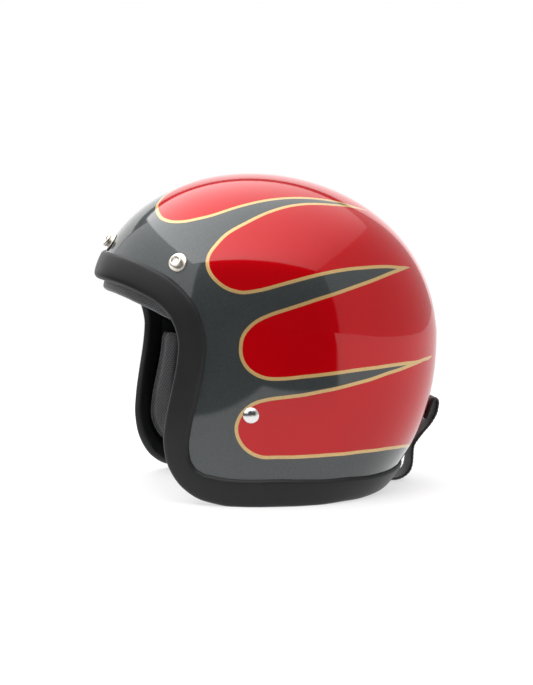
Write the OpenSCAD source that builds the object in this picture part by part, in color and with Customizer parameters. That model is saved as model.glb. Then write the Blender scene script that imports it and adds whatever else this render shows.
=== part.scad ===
// Open face motorcycle helmet: a painted shell with a rubber channel round its
// edge, a foam impact liner, sewn comfort pads, riveted chin straps with a pair
// of D-rings, three visor studs and a snapped goggle strap at the nape.
// Millimetres. The face looks along -Y, +Z is up, and the table is at z = 0.

/* [Shell form] */
// Width of the shell at its widest level
shell_width = 238; // [228:1:248]
// Length of the shell at its widest level
shell_length = 280; // [270:1:292]
// Height of the crown above the table
shell_height = 254; // [246:1:262]
// Height of the widest level above the table
widest_height = 126; // [120:1:132]
// Wall of the moulded shell
shell_wall = 3.2; // [2.6:0.2:4]
// Roundness of the side view of the flanks, 2 for an ellipse
side_fullness = 2.4; // [2.3:0.1:2.6]
// Roundness of the brow and back, 2 for an ellipse
length_fullness = 2.3; // [2.2:0.1:2.6]
// How far the crown lies ahead of the middle of the widest level
crown_lead = 13; // [9:1:17]
// How far each flank draws in between the widest level and the table
side_tuck = 8; // [5:1:11]
// How far brow and nape together draw in below the widest level
length_tuck = 35; // [30:1:40]
// How much more of that the nape takes than the brow
nape_tuck = 12; // [8:1:16]
// Share by which the back of the plan is broader than the front
rear_breadth = 0.05; // [0.02:0.01:0.08]

/* [Rim] */
// Height of the shell's edge at the middle of the brow
brow_height = 174; // [168:1:180]
// Height of the shell's edge above the table under the cheeks
edge_height = 2.8; // [2.5:0.1:3.1]
// How much higher the edge stands at the nape, to clear the goggle strap
nape_lift = 4; // [3.8:0.1:4.6]

/* [Edge trim] */
// How far the rubber covers the outside of the shell
trim_cover = 19; // [15:1:22]
// How far the rubber reaches up inside the shell
trim_tuck = 12; // [9:1:13]
// Thickness of the rubber on the outside
trim_thick = 2.9; // [2.4:0.1:3.4]
// Thickness of the rubber inside and under the edge
trim_lining = 2.3; // [1.9:0.1:2.6]

/* [Liner and pads] */
// Thickness of the foam impact liner
liner_thick = 24; // [20:1:28]
// Gap left between the liner and what lies beside it
liner_gap = 1.4; // [1.2:0.1:2]
// Gap left between the liner and the crown pad
pad_gap = 2.2; // [1.8:0.1:2.6]
// Gap left between the shell and the pads that line it
lining_gap = 0.9; // [0.8:0.1:1.4]
// Thickness of the crown pad
crown_pad_thick = 8; // [6:1:10]
// Thickness of the brow and neck pads
band_pad_thick = 12; // [10:1:14]
// Thickness of the cheek pads
cheek_pad_thick = 24; // [20:1:28]
// Depth of the channel behind each cheek pad where the chin strap swings
strap_channel = 8.6; // [8.4:0.2:10]

/* [Visor studs] */
// Radius of the stud's flange
stud_flange_r = 7.6; // [7:0.1:8.2]
// Radius of the stud's snap head
stud_head_r = 4.95; // [4.6:0.05:5.2]
// Height of the whole stud above the shell
stud_height = 5.2; // [4.8:0.1:5.8]
// Radius of the stud's shank
stud_shank_r = 2; // [1.6:0.1:2.4]
// Bearing of the side studs from straight ahead, in degrees
stud_bearing = 51; // [46:1:55]

/* [Chin strap] */
// Radius of the rivet's domed head
rivet_head_r = 6.3; // [5.6:0.1:7]
// Height of the rivet's domed head
rivet_head_h = 2.6; // [2.2:0.1:3]
// Radius of the rivet's shank
rivet_shank_r = 2.4; // [2:0.1:2.8]
// Height of the chin strap rivets above the table
rivet_height = 72; // [68:1:76]
// Bearing of the chin strap rivets, in degrees
rivet_bearing = 76; // [74:1:79]
// Thickness of the spacer between the shell and the strap hanger
spacer_thick = 4; // [3.8:0.1:4.4]
// Width of the webbing
web_width = 25; // [22:1:26]
// Thickness of the webbing
web_thick = 2.2; // [1.8:0.1:2.4]
// Inward reach of the long strap from its rivet
long_reach = 92; // [86:1:94]
// Length of the long strap's tail, folded back over it
tail_length = 44; // [40:1:48]
// Inward reach of the ring strap from its rivet, to the lower ring's bar
ring_reach = 68; // [60:1:72]
// Radius of the D-ring wire
ring_wire_r = 1.8; // [1.5:0.1:1.8]
// Height of the webbing's middle where it lies inside the helmet
lie_height = 4.8; // [4.6:0.1:5.4]

/* [Goggle strap] */
// Width of the goggle strap
goggle_width = 26; // [22:1:28]
// Thickness of the goggle strap
goggle_thick = 2.4; // [2:0.1:2.6]
// Height of the goggle strap's snap on the shell
snap_height = 60; // [57:1:63]
// How far the loop's middle stands out from the shell
loop_stand = 12; // [11:0.5:13]

/* [Hidden] */
$fn = 48;

// ---- Form of the shell -------------------------------------------------
// A place on the shell is a pair q = drop * [sin(bearing), -cos(bearing)].
// The bearing is 0 at the face and 180 at the nape. The drop is 0 at the
// crown, 90 at the widest level, and grows evenly with depth below that.

dome_rise = shell_height - widest_height;
tuck_power = 2.5;
probe = 0.5;
// The helmet is set so that it stands astride the origin, goggle strap included.
fore_aft_shift = -21.7;

function unit(v) = v / norm(v);
function mix(a, b, t) = a + (b - a) * t;
function ease(t) = let (c = max(0, min(1, t))) c * c * (3 - 2 * c);
function drop_at(z) = z >= widest_height
    ? acos(min(1, (z - widest_height) / dome_rise))
    : 90 + (widest_height - z) / dome_rise * 180 / PI;
function place(bearing, z) = drop_at(z) * [sin(bearing), -cos(bearing)];

function swell(u, fullness) = sqrt(max(0, 1 - pow(u, fullness)));

// Point of the outer skin at q.
function skin(q) =
    let (drop = norm(q),
         sine = drop < 1e-6 ? 0 : q[0] / drop,
         cosine = drop < 1e-6 ? 1 : -q[1] / drop,
         above = drop <= 90,
         u = above ? cos(drop) : 0,
         z = above ? widest_height + dome_rise * u
                   : widest_height - dome_rise * (drop - 90) * PI / 180,
         low = above ? 0 : pow((widest_height - z) / widest_height, tuck_power),
         half_w = shell_width / 2 * swell(u, side_fullness) - side_tuck * low,
         half_l = shell_length / 2 * swell(u, length_fullness) - length_tuck * low,
         middle = crown_lead * (1 - u) - nape_tuck * low,
         egg = rear_breadth * (above ? sin(drop) : 1))
    [half_w * sine * (1 - egg * cosine),
     middle - half_l * cosine + fore_aft_shift + crown_lead / 2,
     z];

// Slopes of the skin along both axes of q, per degree, and its outward normal.
function slope_a(q) = (skin(q + [probe, 0]) - skin(q - [probe, 0])) / (2 * probe);
function slope_b(q) = (skin(q + [0, probe]) - skin(q - [0, probe])) / (2 * probe);
function outward(q) = unit(cross(slope_a(q), slope_b(q)));

// Point at a depth under the outer skin.
function under(q, depth) = skin(q) - depth * outward(q);

// Change of q that moves one millimetre along a direction in the skin.
function stride(q, along) =
    let (a = slope_a(q), b = slope_b(q),
         aa = a * a, ab = a * b, bb = b * b,
         da = a * along, db = b * along,
         det = aa * bb - ab * ab)
    [(bb * da - ab * db) / det, (aa * db - ab * da) / det];

// ---- Closed outlines on the skin ---------------------------------------

function spline(a, b, c, d, t) =
    0.5 * (2 * b + (c - a) * t + (2 * a - 5 * b + 4 * c - d) * t * t
           + (3 * b - a - 3 * c + d) * t * t * t);
function rounded_loop(points, per) =
    let (n = len(points))
    [for (i = [0 : n - 1]) for (k = [0 : per - 1])
        spline(points[(i + n - 1) % n], points[i], points[(i + 1) % n],
               points[(i + 2) % n], k / per)];
function running(values, i = 0, sum = 0) =
    i >= len(values) ? [sum] : concat([sum], running(values, i + 1, sum + values[i]));

// The loop through the points, at count places an even distance apart.
function even_loop(points, count) =
    let (fine = rounded_loop(points, 8),
         n = len(fine),
         at = [for (q = fine) skin(q)],
         steps = [for (i = [0 : n - 1]) norm(at[(i + 1) % n] - at[i])],
         ways = running(steps),
         table_a = [for (i = [0 : n]) [ways[i], fine[i % n][0]]],
         table_b = [for (i = [0 : n]) [ways[i], fine[i % n][1]]],
         whole = ways[n])
    [for (k = [0 : count - 1])
        [lookup(whole * k / count, table_a), lookup(whole * k / count, table_b)]];

// Direction in the skin, square to the loop, that leads out over its edge.
function way_out(loop, i) =
    let (n = len(loop),
         along = unit(skin(loop[(i + 1) % n]) - skin(loop[(i + n - 1) % n])))
    unit(cross(along, outward(loop[i])));

function mirrored(half) = concat(half,
    [for (i = [len(half) - 2 : -1 : 1]) [-half[i][0], half[i][1]]]);

// Half of the shell's edge, from the brow to the nape: bearing, and height as a
// share of the way from the edge under the cheeks up to the brow.
rim_half = [
    [0, 1], [12, 0.998], [24, 0.988], [36, 0.957], [45, 0.912], [50.5, 0.845],
    [52.7, 0.765], [52.8, 0.68], [51.6, 0.58], [49.4, 0.47], [47, 0.36],
    [45.3, 0.26], [46, 0.155], [50.5, 0.07], [58.5, 0.02], [70, 0], [83, 0],
    [98, 0], [113, 0], [130, 0]
];
rim_rear_bearings = [147, 164, 180];
function rim_z(share) = edge_height + share * (brow_height - edge_height);
rim_points = mirrored(concat(
    [for (p = rim_half) place(p[0], rim_z(p[1]))],
    [for (b = rim_rear_bearings) place(b, edge_height + nape_lift * ease((b - 130) / 50))]));

rim_stations = 104;
shell_rings = 13;
crown_pole = [0, 40];
// How far ahead of the edge the grid lines turn square to it.
edge_lead = 14;
fan_spread = 0.5;

// Grid of q, from a pole out to a loop that runs counter-clockwise about it. Its
// lines leave the pole evenly spread and end square to the loop, so that they
// don't cross where the loop draws in.
function fan(loop, pole, rings, lead) =
    let (n = len(loop),
         first = atan2(loop[0][0] - pole[0], pole[1] - loop[0][1]))
    [for (j = [1 : rings])
        [for (i = [0 : n - 1])
            let (t = j / rings,
                 angle = first + 360 * i / n,
                 leave = pole + fan_spread * norm(loop[i] - pole) * [sin(angle), -cos(angle)],
                 turn = loop[i] - stride(loop[i], way_out(loop, i)) * lead)
            pole * pow(1 - t, 3) + leave * 3 * t * pow(1 - t, 2)
                + turn * 3 * t * t * (1 - t) + loop[i] * pow(t, 3)]];

// Closed solid between two depths under the skin, over a fan of q. The depths
// are functions of q and of the share of the way from the pole to the edge.
module layer(pole, grid, outer, inner) {
    rings = len(grid);
    n = len(grid[0]);
    sheet_size = rings * n + 1;
    function sheet(depth) = concat(
        [under(pole, depth(pole, 0))],
        [for (j = [0 : rings - 1]) for (i = [0 : n - 1])
            under(grid[j][i], depth(grid[j][i], (j + 1) / rings))]);
    function at(side, j, i) = side * sheet_size + 1 + j * n + i % n;
    polyhedron(
        points = concat(sheet(outer), sheet(inner)),
        faces = concat(
            [for (i = [0 : n - 1]) [0, at(0, 0, i + 1), at(0, 0, i)]],
            [for (i = [0 : n - 1]) [sheet_size, at(1, 0, i), at(1, 0, i + 1)]],
            [for (j = [0 : rings - 2]) for (i = [0 : n - 1]) each
                [[at(0, j, i), at(0, j, i + 1), at(0, j + 1, i + 1)],
                 [at(0, j, i), at(0, j + 1, i + 1), at(0, j + 1, i)],
                 [at(1, j, i), at(1, j + 1, i + 1), at(1, j, i + 1)],
                 [at(1, j, i), at(1, j + 1, i), at(1, j + 1, i + 1)]]],
            [for (i = [0 : n - 1]) each
                [[at(0, rings - 1, i), at(0, rings - 1, i + 1), at(1, rings - 1, i + 1)],
                 [at(0, rings - 1, i), at(1, rings - 1, i + 1), at(1, rings - 1, i)]]]));
}

// Stands its children on the skin at q: their +Z points out, their +Y up the skin.
module on_skin(q, depth = 0) {
    out = outward(q);
    side = unit(cross([0, 0, 1], out));
    up = cross(out, side);
    at = under(q, depth);
    multmatrix([[side[0], up[0], out[0], at[0]],
                [side[1], up[1], out[1], at[1]],
                [side[2], up[2], out[2], at[2]],
                [0, 0, 0, 1]])
        children();
}

// ---- Places of the hardware ---------------------------------------------

center_stud_q = place(0, brow_height + 25);
function side_stud_q(side) = place(side * stud_bearing, brow_height + 14);
stud_places = [center_stud_q, side_stud_q(1), side_stud_q(-1)];
function rivet_q(side) = place(side * rivet_bearing, rivet_height);
goggle_stud_q = place(180, snap_height);
// The goggle strap's inner end is riveted through the shell above the trim.
base_rivet_height = 30;
base_rivet_r = 1.5;
function base_rivet_q(side) = place(180 - side * 3.5, base_rivet_height);
// Holes in the shell fit their shanks with this much room all round.
hole_room = 0.15;

// ---- Shell ---------------------------------------------------------------

module shell() {
    loop = even_loop(rim_points, rim_stations);
    color([0.72, 0.02, 0.05])
    difference() {
        layer(crown_pole, fan(loop, crown_pole, shell_rings, edge_lead),
              function(q, t) 0, function(q, t) shell_wall);
        for (q = stud_places) drill(q, stud_shank_r);
        drill(goggle_stud_q, stud_shank_r);
        for (side = [1, -1]) drill(rivet_q(side), rivet_shank_r);
        for (side = [1, -1]) drill(base_rivet_q(side), base_rivet_r);
    }
}

module drill(q, r) {
    on_skin(q) translate([0, 0, -shell_wall - 4]) cylinder(r = r + hole_room, h = shell_wall + 8);
}

// ---- Edge trim -----------------------------------------------------------

// Section of the channel: how far back from the shell's edge, how far out from
// its skin. It starts at the outer lip and goes over the edge to the inside.
trim_nose = 3.4;
trim_room = 0.2;
trim_in = -shell_wall - trim_lining;
trim_section = [
    [trim_cover * 0.33, trim_room], [trim_cover * 0.67, trim_room], [trim_cover, trim_room],
    [trim_cover, 0.9], [trim_cover - 1.2, trim_thick * 0.75],
    [trim_cover - 4, trim_thick * 0.93], [trim_cover * 0.4, trim_thick],
    [0.5, trim_thick * 0.9], [-trim_nose * 0.7, trim_thick * 0.35],
    [-trim_nose, -shell_wall * 0.45], [-trim_nose * 0.7, mix(-shell_wall, trim_in, 0.55)],
    [0.8, trim_in], [trim_tuck - 1.5, trim_in],
    [trim_tuck, mix(-shell_wall, trim_in, 0.4)], [trim_tuck, -shell_wall - trim_room],
    [-trim_room, -shell_wall - trim_room], [-trim_room, trim_room]
];

module edge_trim() {
    loop = even_loop(rim_points, rim_stations);
    n = len(loop);
    m = len(trim_section);
    points = [for (i = [0 : n - 1])
        let (step = stride(loop[i], way_out(loop, i)))
        for (p = trim_section) under(loop[i] - step * p[0], -p[1])];
    color([0.07, 0.07, 0.075])
    difference() {
        polyhedron(points = points, faces = [
            for (i = [0 : n - 1]) for (k = [0 : m - 1])
                let (a = i * m + k, b = i * m + (k + 1) % m,
                     c = (i + 1) % n * m + (k + 1) % m, d = (i + 1) % n * m + k)
                each [[a, c, b], [a, d, c]]]);
        below_table();
    }
}

// Everything under the table, which takes the flat land off the trim's foot.
module below_table() {
    size = 2 * shell_length;
    translate([-size / 2, -size / 2, -20]) cube([size, size, 20]);
}

// ---- Impact liner --------------------------------------------------------

liner_half = [
    [0, 1.085], [20, 1.075], [38, 1.03], [50, 0.955], [58, 0.83], [64, 0.69], [75, 0.585],
    [92, 0.555], [112, 0.5], [135, 0.4], [158, 0.31], [180, 0.29]
];
liner_points = mirrored([for (p = liner_half) place(p[0], rim_z(p[1]))]);
liner_depth = shell_wall + liner_gap;
liner_lead = 10;

module impact_liner() {
    loop = even_loop(liner_points, 56);
    color([0.13, 0.13, 0.135])
    difference() {
        layer(crown_pole, fan(loop, crown_pole, 8, liner_lead),
              function(q, t) liner_depth,
              function(q, t) liner_depth + liner_thick * (1 - 0.35 * pow(t, 6)));
        for (q = stud_places) backing_pocket(q);
        backing_pocket(goggle_stud_q);
    }
}

// Room in the liner for a stud's backing and the end of its shank.
module backing_pocket(q) {
    deep = backing_gap + backing_t + clinch_t + 1;
    on_skin(q, shell_wall) translate([0, 0, -deep]) cylinder(r = stud_flange_r + 1, h = deep + 3);
}

// ---- Comfort pads --------------------------------------------------------

pad_depth = liner_depth + liner_thick + pad_gap;
// Height of a pad across its width, full in the middle and rounded at the edge.
function pillow(t) = sqrt(max(0, 1 - pow(t, 4)));

// The pad's grid spreads from the middle of its outline, moved by lean.
module pad(points, stations, rings, lead, back, thick, rim_thick, lean = [0, 0]) {
    loop = even_loop(points, stations);
    middle = lean
        + [for (k = [0, 1]) [for (q = loop) q[k]] * [for (q = loop) 1] / len(loop)];
    layer(middle, fan(loop, middle, rings, lead), back,
          function(q, t) back(q, t) + rim_thick + (thick - rim_thick) * pillow(t));
}

crown_pad_half = [
    [0, 1.2], [30, 1.17], [55, 1.06], [80, 0.92], [105, 0.84], [130, 0.78], [155, 0.72], [180, 0.7]
];
crown_pad_points = mirrored([for (p = crown_pad_half) place(p[0], rim_z(p[1]))]);

// How far from its edge the crown pad starts to round off, and its thickness there.
crown_pad_lead = 10;
crown_pad_edge = 3;

module crown_pad() {
    color([0.05, 0.05, 0.055])
    pad(crown_pad_points, 36, 5, crown_pad_lead, function(q, t) pad_depth, crown_pad_thick,
        crown_pad_edge);
}

// Section of a sewn band: share of its width, share of its thickness.
band_section = [
    [0.1, 0], [0.5, 0], [0.9, 0], [1, 0.35], [0.93, 0.75], [0.75, 0.95], [0.5, 1],
    [0.25, 0.95], [0.07, 0.75], [0, 0.35]
];

// Padded band between two lines of q, thinner and narrower towards its ends.
module band(low, high, back, thick) {
    below = smooth(low, 4);
    above = smooth(high, 4);
    n = len(below);
    m = len(band_section);
    function fullness(i) = max(0.3, sqrt(1 - pow(abs(2 * i / (n - 1) - 1), 6)));
    function spot(i, p) =
        let (q = mix(below[i], above[i], 0.5 + (p[0] - 0.5) * fullness(i)))
        under(q, back(q) + thick * p[1] * fullness(i));
    polyhedron(
        points = concat(
            [for (i = [0 : n - 1]) for (p = band_section) spot(i, p)],
            [spot(0, [0.5, 0.5]), spot(n - 1, [0.5, 0.5])]),
        faces = concat(
            [for (i = [0 : n - 2]) for (k = [0 : m - 1])
                let (a = i * m + k, b = i * m + (k + 1) % m)
                each [[a, b, b + m], [a, b + m, a + m]]],
            [for (k = [0 : m - 1]) [n * m, (k + 1) % m, k]],
            [for (k = [0 : m - 1]) [n * m + 1, (n - 1) * m + k, (n - 1) * m + (k + 1) % m]]));
}
// Both halves of a line that is given for the wearer's left, from the middle.
function both_sides(half) = concat(
    [for (i = [len(half) - 1 : -1 : 1]) place(-half[i][0], rim_z(half[i][1]))],
    [for (p = half) place(p[0], rim_z(p[1]))]);

// The brow pad hangs inside the trim and shows under it.
brow_high = [[0, 1.06], [16, 1.055], [32, 1.02], [43, 0.965], [51, 0.88]];
brow_low = [[0, 0.93], [15, 0.925], [29, 0.895], [40, 0.85], [49, 0.78]];
brow_gap = 1.2;
brow_depth = shell_wall + trim_lining + brow_gap;

module brow_pad() {
    color([0.05, 0.05, 0.055])
    band(both_sides(brow_low), both_sides(brow_high), function(q) brow_depth, band_pad_thick);
}

neck_high = [[180, 0.25], [164, 0.255], [148, 0.29], [132, 0.345], [120, 0.385]];
neck_low = [[180, 0.125], [163, 0.13], [146, 0.155], [130, 0.195], [118, 0.25]];
// A line for the wearer's left that starts at the nape, drawn round the back.
function round_back(half) = concat(
    [for (i = [len(half) - 1 : -1 : 0]) place(half[i][0], rim_z(half[i][1]))],
    [for (i = [1 : len(half) - 1]) place(-half[i][0], rim_z(half[i][1]))]);
strap_room = 2.2;
// Behind its middle the pad leaves room for the goggle strap's inner end.
function neck_back(q) =
    let (off_middle = 180 - abs(atan2(q[0], -q[1])))
    shell_wall + lining_gap + (goggle_thick + strap_room) * ease((17 - off_middle) / 8);

module neck_pad() {
    color([0.05, 0.05, 0.055])
    band(round_back(neck_low), round_back(neck_high), function(q) neck_back(q),
         band_pad_thick);
}

cheek_pad_points = [for (p = [
    [60, 0.66], [57.5, 0.65], [56.8, 0.58], [55.6, 0.48], [54, 0.36], [53, 0.24], [56, 0.15],
    [64, 0.1], [76, 0.09], [92, 0.115], [104, 0.2], [108, 0.33], [103, 0.43], [90, 0.48],
    [77, 0.52], [67, 0.58]]) place(p[0], rim_z(p[1]))];

// Behind the pad a channel as deep as strap_channel lets the chin strap swing.
function cheek_back(q) =
    let (bearing = atan2(q[0], -q[1]),
         across = abs(bearing - rivet_bearing) / 22)
    shell_wall + lining_gap + strap_channel * ease((1.35 - across) / 0.35);

cheek_pad_lead = 6;
cheek_pad_edge = 7;

module cheek_pad() {
    color([0.05, 0.05, 0.055])
    pad(cheek_pad_points, 36, 6, cheek_pad_lead, function(q, t) cheek_back(q),
        cheek_pad_thick, cheek_pad_edge, [6, -7]);
}

// ---- Visor studs ---------------------------------------------------------

flange_t = 1.1;
backing_t = 0.9;
clinch_t = 0.8;
// Gap between the curved shell and the flat washer behind a stud.
backing_gap = 0.7;

// A male snap riveted through the shell, turned about the hole's axis.
module shell_stud(q, height, head_r, flange_r) {
    shank_end = -shell_wall - backing_gap - backing_t - clinch_t;
    neck_r = head_r - 0.9;
    band = min(2, (height - flange_t) * 0.45);
    head_base = height - 0.6 - band;
    on_skin(q) color([0.8, 0.76, 0.68]) rotate_extrude($fn = 64) polygon([
        [0, shank_end], [stud_shank_r, shank_end], [stud_shank_r, 0], [flange_r, 0],
        [flange_r, flange_t * 0.6], [flange_r - 0.5, flange_t], [neck_r, flange_t],
        [neck_r, head_base - 0.25], [head_r, head_base], [head_r, head_base + band],
        [head_r - 0.6, height], [head_r - 1.6, height],
        [head_r - 2.2, height - band * 0.55], [0, height - band * 0.55]]);
}

module visor_stud(q) {
    shell_stud(q, stud_height, stud_head_r, stud_flange_r);
}

module stud_backing(q) {
    on_skin(q, shell_wall) color([0.75, 0.72, 0.65])
    translate([0, 0, -backing_t - backing_gap]) difference() {
        cylinder(r = stud_flange_r - 1.6, h = backing_t);
        translate([0, 0, -1]) cylinder(r = stud_shank_r + 0.05, h = backing_t + 2);
    }
}

module visor_stud_backings() {
    for (q = stud_places) stud_backing(q);
}

// ---- Chin strap: rivet, spacer, washer, hanger ------------------------------

hanger_t = 1.5;
hanger_depth = shell_wall + spacer_thick + 0.45;
washer_t = 1;
washer_depth = hanger_depth + hanger_t + 0.15;
rivet_length = washer_depth + washer_t + clinch_t;
spacer_r = 6;
spacer_gap = 0.6;

module chin_rivet(side) {
    ball_r = (pow(rivet_head_r, 2) + pow(rivet_head_h, 2)) / (2 * rivet_head_h);
    on_skin(rivet_q(side)) color([0.85, 0.85, 0.84]) union() {
        intersection() {
            translate([0, 0, rivet_head_h - ball_r]) sphere(r = ball_r, $fn = 96);
            cylinder(r = rivet_head_r, h = rivet_head_h + 1);
        }
        translate([0, 0, -rivet_length]) cylinder(r = rivet_shank_r, h = rivet_length + 0.2);
    }
}

module ring_on_rivet(side, depth, outer_r, thick, room) {
    on_skin(rivet_q(side), depth) translate([0, 0, -thick]) difference() {
        cylinder(r = outer_r, h = thick);
        translate([0, 0, -1]) cylinder(r = rivet_shank_r + room, h = thick + 2);
    }
}

module rivet_spacer(side) {
    color([0.2, 0.2, 0.2])
    ring_on_rivet(side, shell_wall + spacer_gap, spacer_r, spacer_thick + 0.3 - spacer_gap, 0.05);
}

module rivet_washer(side) {
    color([0.75, 0.74, 0.72])
    ring_on_rivet(side, washer_depth, rivet_head_r, washer_t, 0.05);
}

// The hanger is a plate that turns on the rivet and carries the webbing on a bar.
slot_drop = 15;
slot_height = 4.4;
bar_height = 4;
hanger_w = web_width + 8;

module strap_hanger(side) {
    low = slot_drop + bar_height;
    half = hanger_w / 2;
    on_skin(rivet_q(side), hanger_depth) color([0.7, 0.7, 0.7])
    translate([0, 0, -hanger_t]) difference() {
        linear_extrude(height = hanger_t) polygon([
            [-6, 7.5], [6, 7.5], [8.5, 4], [9.5, -4], [half, 6 - slot_drop], [half, 2 - low],
            [half - 2, -low], [2 - half, -low], [-half, 2 - low], [-half, 6 - slot_drop],
            [-9.5, -4], [-8.5, 4]]);
        translate([-web_width / 2 - 0.8, -slot_drop, -1])
            cube([web_width + 1.6, slot_height, hanger_t + 2]);
        translate([0, 0, -1]) cylinder(r = rivet_shank_r + 0.1, h = hanger_t + 2);
    }
}

// ---- Chin strap webbing ----------------------------------------------------

// Frame of a strap: +X out over the shell level with the table, +Z up, and its
// origin on the table straight below the rivet's place on the skin.
rivet_axis = outward(rivet_q(1));
function level_out(side) = unit([side * rivet_axis[0], rivet_axis[1], 0]);
module strap_frame(side) {
    out = level_out(side);
    at = skin(rivet_q(side));
    multmatrix([[out[0], -out[1], 0, at[0]], [out[1], out[0], 0, at[1]],
                [0, 0, 1, 0], [0, 0, 0, 1]])
        children();
}

// Places in the plane of the strap, as [out, height]: in the tilted plane that
// the hanger turns in, and beside the wall at another height.
rivet_axis_2d = [rivet_axis * level_out(1), rivet_axis[2]];
function hung(fall, depth) =
    [0, rivet_height] - depth * rivet_axis_2d
    - fall * [-rivet_axis_2d[1], rivet_axis_2d[0]];
function beside(z, depth) =
    let (p = under(place(rivet_bearing, z), depth) - skin(rivet_q(1)))
    [p * level_out(1), p[2] + rivet_height];

function arc(center, r, from, to, steps) =
    [for (k = [0 : steps])
        let (a = mix(from, to, k / steps)) center + r * [cos(a), sin(a)]];
function square_to(path, i) =
    let (d = unit(path[min(i + 1, len(path) - 1)] - path[max(i - 1, 0)]))
    [-d[1], d[0]];
// Outline of a ribbon of an even thickness along a path in a plane.
function ribbon(path, thick) = concat(
    [for (i = [0 : len(path) - 1]) path[i] + square_to(path, i) * thick / 2],
    [for (i = [len(path) - 1 : -1 : 0]) path[i] - square_to(path, i) * thick / 2]);
module web(path, thick, width) {
    rotate([90, 0, 0]) translate([0, 0, -width / 2])
        linear_extrude(height = width) polygon(ribbon(path, thick));
}

turn_r = 7;
turn_room = 4;
bar_fall = slot_drop + bar_height / 2;
bar_depth = hanger_depth + hanger_t / 2;
sewn_fall = bar_fall + 21;
hang_low = beside(lie_height + turn_r + 3, shell_wall + trim_lining + turn_room + web_thick / 2);
turn_center = [hang_low[0] - turn_r, lie_height + turn_r];
// Down the wall from the hanger, round the turn, and in along the floor.
drop_path = concat(
    [hung(bar_fall + 6, bar_depth + web_thick / 2), hung(sewn_fall, bar_depth + web_thick / 2)],
    [hang_low], arc(turn_center, turn_r, 0, -90, 6));

// The end of the webbing goes round the hanger's bar and is sewn back on itself.
module hung_end() {
    bar_room = 0.4;
    inner = [hanger_t, bar_height] + 2 * [bar_room, bar_room];
    tilt = atan2(rivet_axis_2d[1], rivet_axis_2d[0]);
    web([hung(bar_fall + bar_height / 2 + bar_room + 0.5, bar_depth), hung(sewn_fall, bar_depth)],
        2 * web_thick, web_width);
    rotate([90, 0, 0]) translate([0, 0, -web_width / 2]) linear_extrude(height = web_width)
    translate(hung(bar_fall, bar_depth)) rotate(tilt) difference() {
        square(inner + 2 * [web_thick, web_thick], center = true);
        square(inner, center = true);
    }
}

fold_r = 3.6;
tail_z = lie_height + 2 * fold_r;
long_path = concat(drop_path, [[-long_reach, lie_height]],
    arc([-long_reach, lie_height + fold_r], fold_r, -110, -250, 7),
    [[-long_reach, tail_z], [tail_length - long_reach, tail_z]]);
snap_reach = long_reach - 17;
snap_hole_r = 1.7;

module chin_strap_left() {
    color([0.06, 0.06, 0.065]) strap_frame(1) difference() {
        union() {
            hung_end();
            web(long_path, web_thick, web_width);
        }
        translate([-snap_reach, 0, 0]) cylinder(r = snap_hole_r, h = tail_z + 4);
    }
}

// Both bars lie in one eye of the webbing, the upper one further back.
bar_step = 2 * ring_wire_r + 0.45;
eye_r = ring_wire_r + 0.35;
low_bar = [-ring_reach, lie_height];
high_bar = low_bar + [bar_step, bar_step];

module along_bars(r, width) {
    rotate([90, 0, 0]) translate([0, 0, -width / 2]) {
        for (p = [low_bar, high_bar]) translate(p) cylinder(r = r, h = width);
        translate(low_bar) rotate(45) translate([0, -r, 0])
            cube([norm(high_bar - low_bar), 2 * r, width]);
    }
}

module chin_strap_right() {
    wall_r = eye_r + web_thick;
    sewn_z = lie_height + web_thick - 0.1;
    sewn = [[high_bar[0] + wall_r - 1, sewn_z], [34 - ring_reach, sewn_z]];
    color([0.06, 0.06, 0.065]) strap_frame(-1) difference() {
        union() {
            hung_end();
            web(concat(drop_path, [[wall_r - ring_reach, lie_height]]), web_thick, web_width);
            web(sewn, web_thick, web_width);
            along_bars(wall_r, web_width);
        }
        along_bars(eye_r, web_width + 2);
    }
}

module d_ring(bar) {
    half = web_width / 2 + 1 + ring_wire_r;
    leg = 4.5;
    color([0.86, 0.86, 0.85]) strap_frame(-1) translate([bar[0], 0, bar[1]]) {
        rotate([90, 0, 0]) cylinder(r = ring_wire_r, h = 2 * half, center = true);
        for (end = [-half, half]) translate([0, end, 0]) {
            sphere(r = ring_wire_r);
            rotate([0, -90, 0]) cylinder(r = ring_wire_r, h = leg);
        }
        translate([-leg, 0, 0]) rotate([0, 0, 90])
            rotate_extrude(angle = 180, $fn = 96) translate([half, 0]) circle(r = ring_wire_r);
    }
}

// ---- Small snaps -----------------------------------------------------------

small_head_r = 3.6;
small_flange_r = 5.2;
post_r = 1.55;
socket_top_t = 0.6;
socket_base = 1.4;
cap_r = 5.6;
cap_h = 1.6;

// Female snap that hangs over a stud from a strap a gap away.
module snap_socket(gap) {
    cavity_r = small_head_r + 0.6;
    color([0.3, 0.3, 0.3]) rotate_extrude($fn = 64) polygon([
        [cavity_r, socket_base], [small_flange_r - 0.4, socket_base],
        [small_flange_r, socket_base + 0.4], [small_flange_r, gap], [post_r + 0.1, gap],
        [post_r + 0.1, gap - socket_top_t], [cavity_r, gap - socket_top_t]]);
}

// Cap on the strap's other side, with the post that holds the socket.
module snap_cap(gap, thick) {
    ball_r = (pow(cap_r, 2) + pow(cap_h, 2)) / (2 * cap_h);
    color([0.1, 0.1, 0.1]) union() {
        translate([0, 0, gap - socket_top_t + 0.05]) cylinder(r = post_r, h = thick + socket_top_t);
        translate([0, 0, gap + thick]) intersection() {
            translate([0, 0, cap_h - ball_r]) sphere(r = ball_r, $fn = 96);
            cylinder(r = cap_r, h = cap_h + 1);
        }
    }
}

tail_gap = 2 * fold_r - web_thick;
// Stands its children on the long strap's upper side at the tail snap.
module at_tail_snap() {
    strap_frame(1) translate([-snap_reach, 0, lie_height + web_thick / 2]) children();
}

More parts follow.
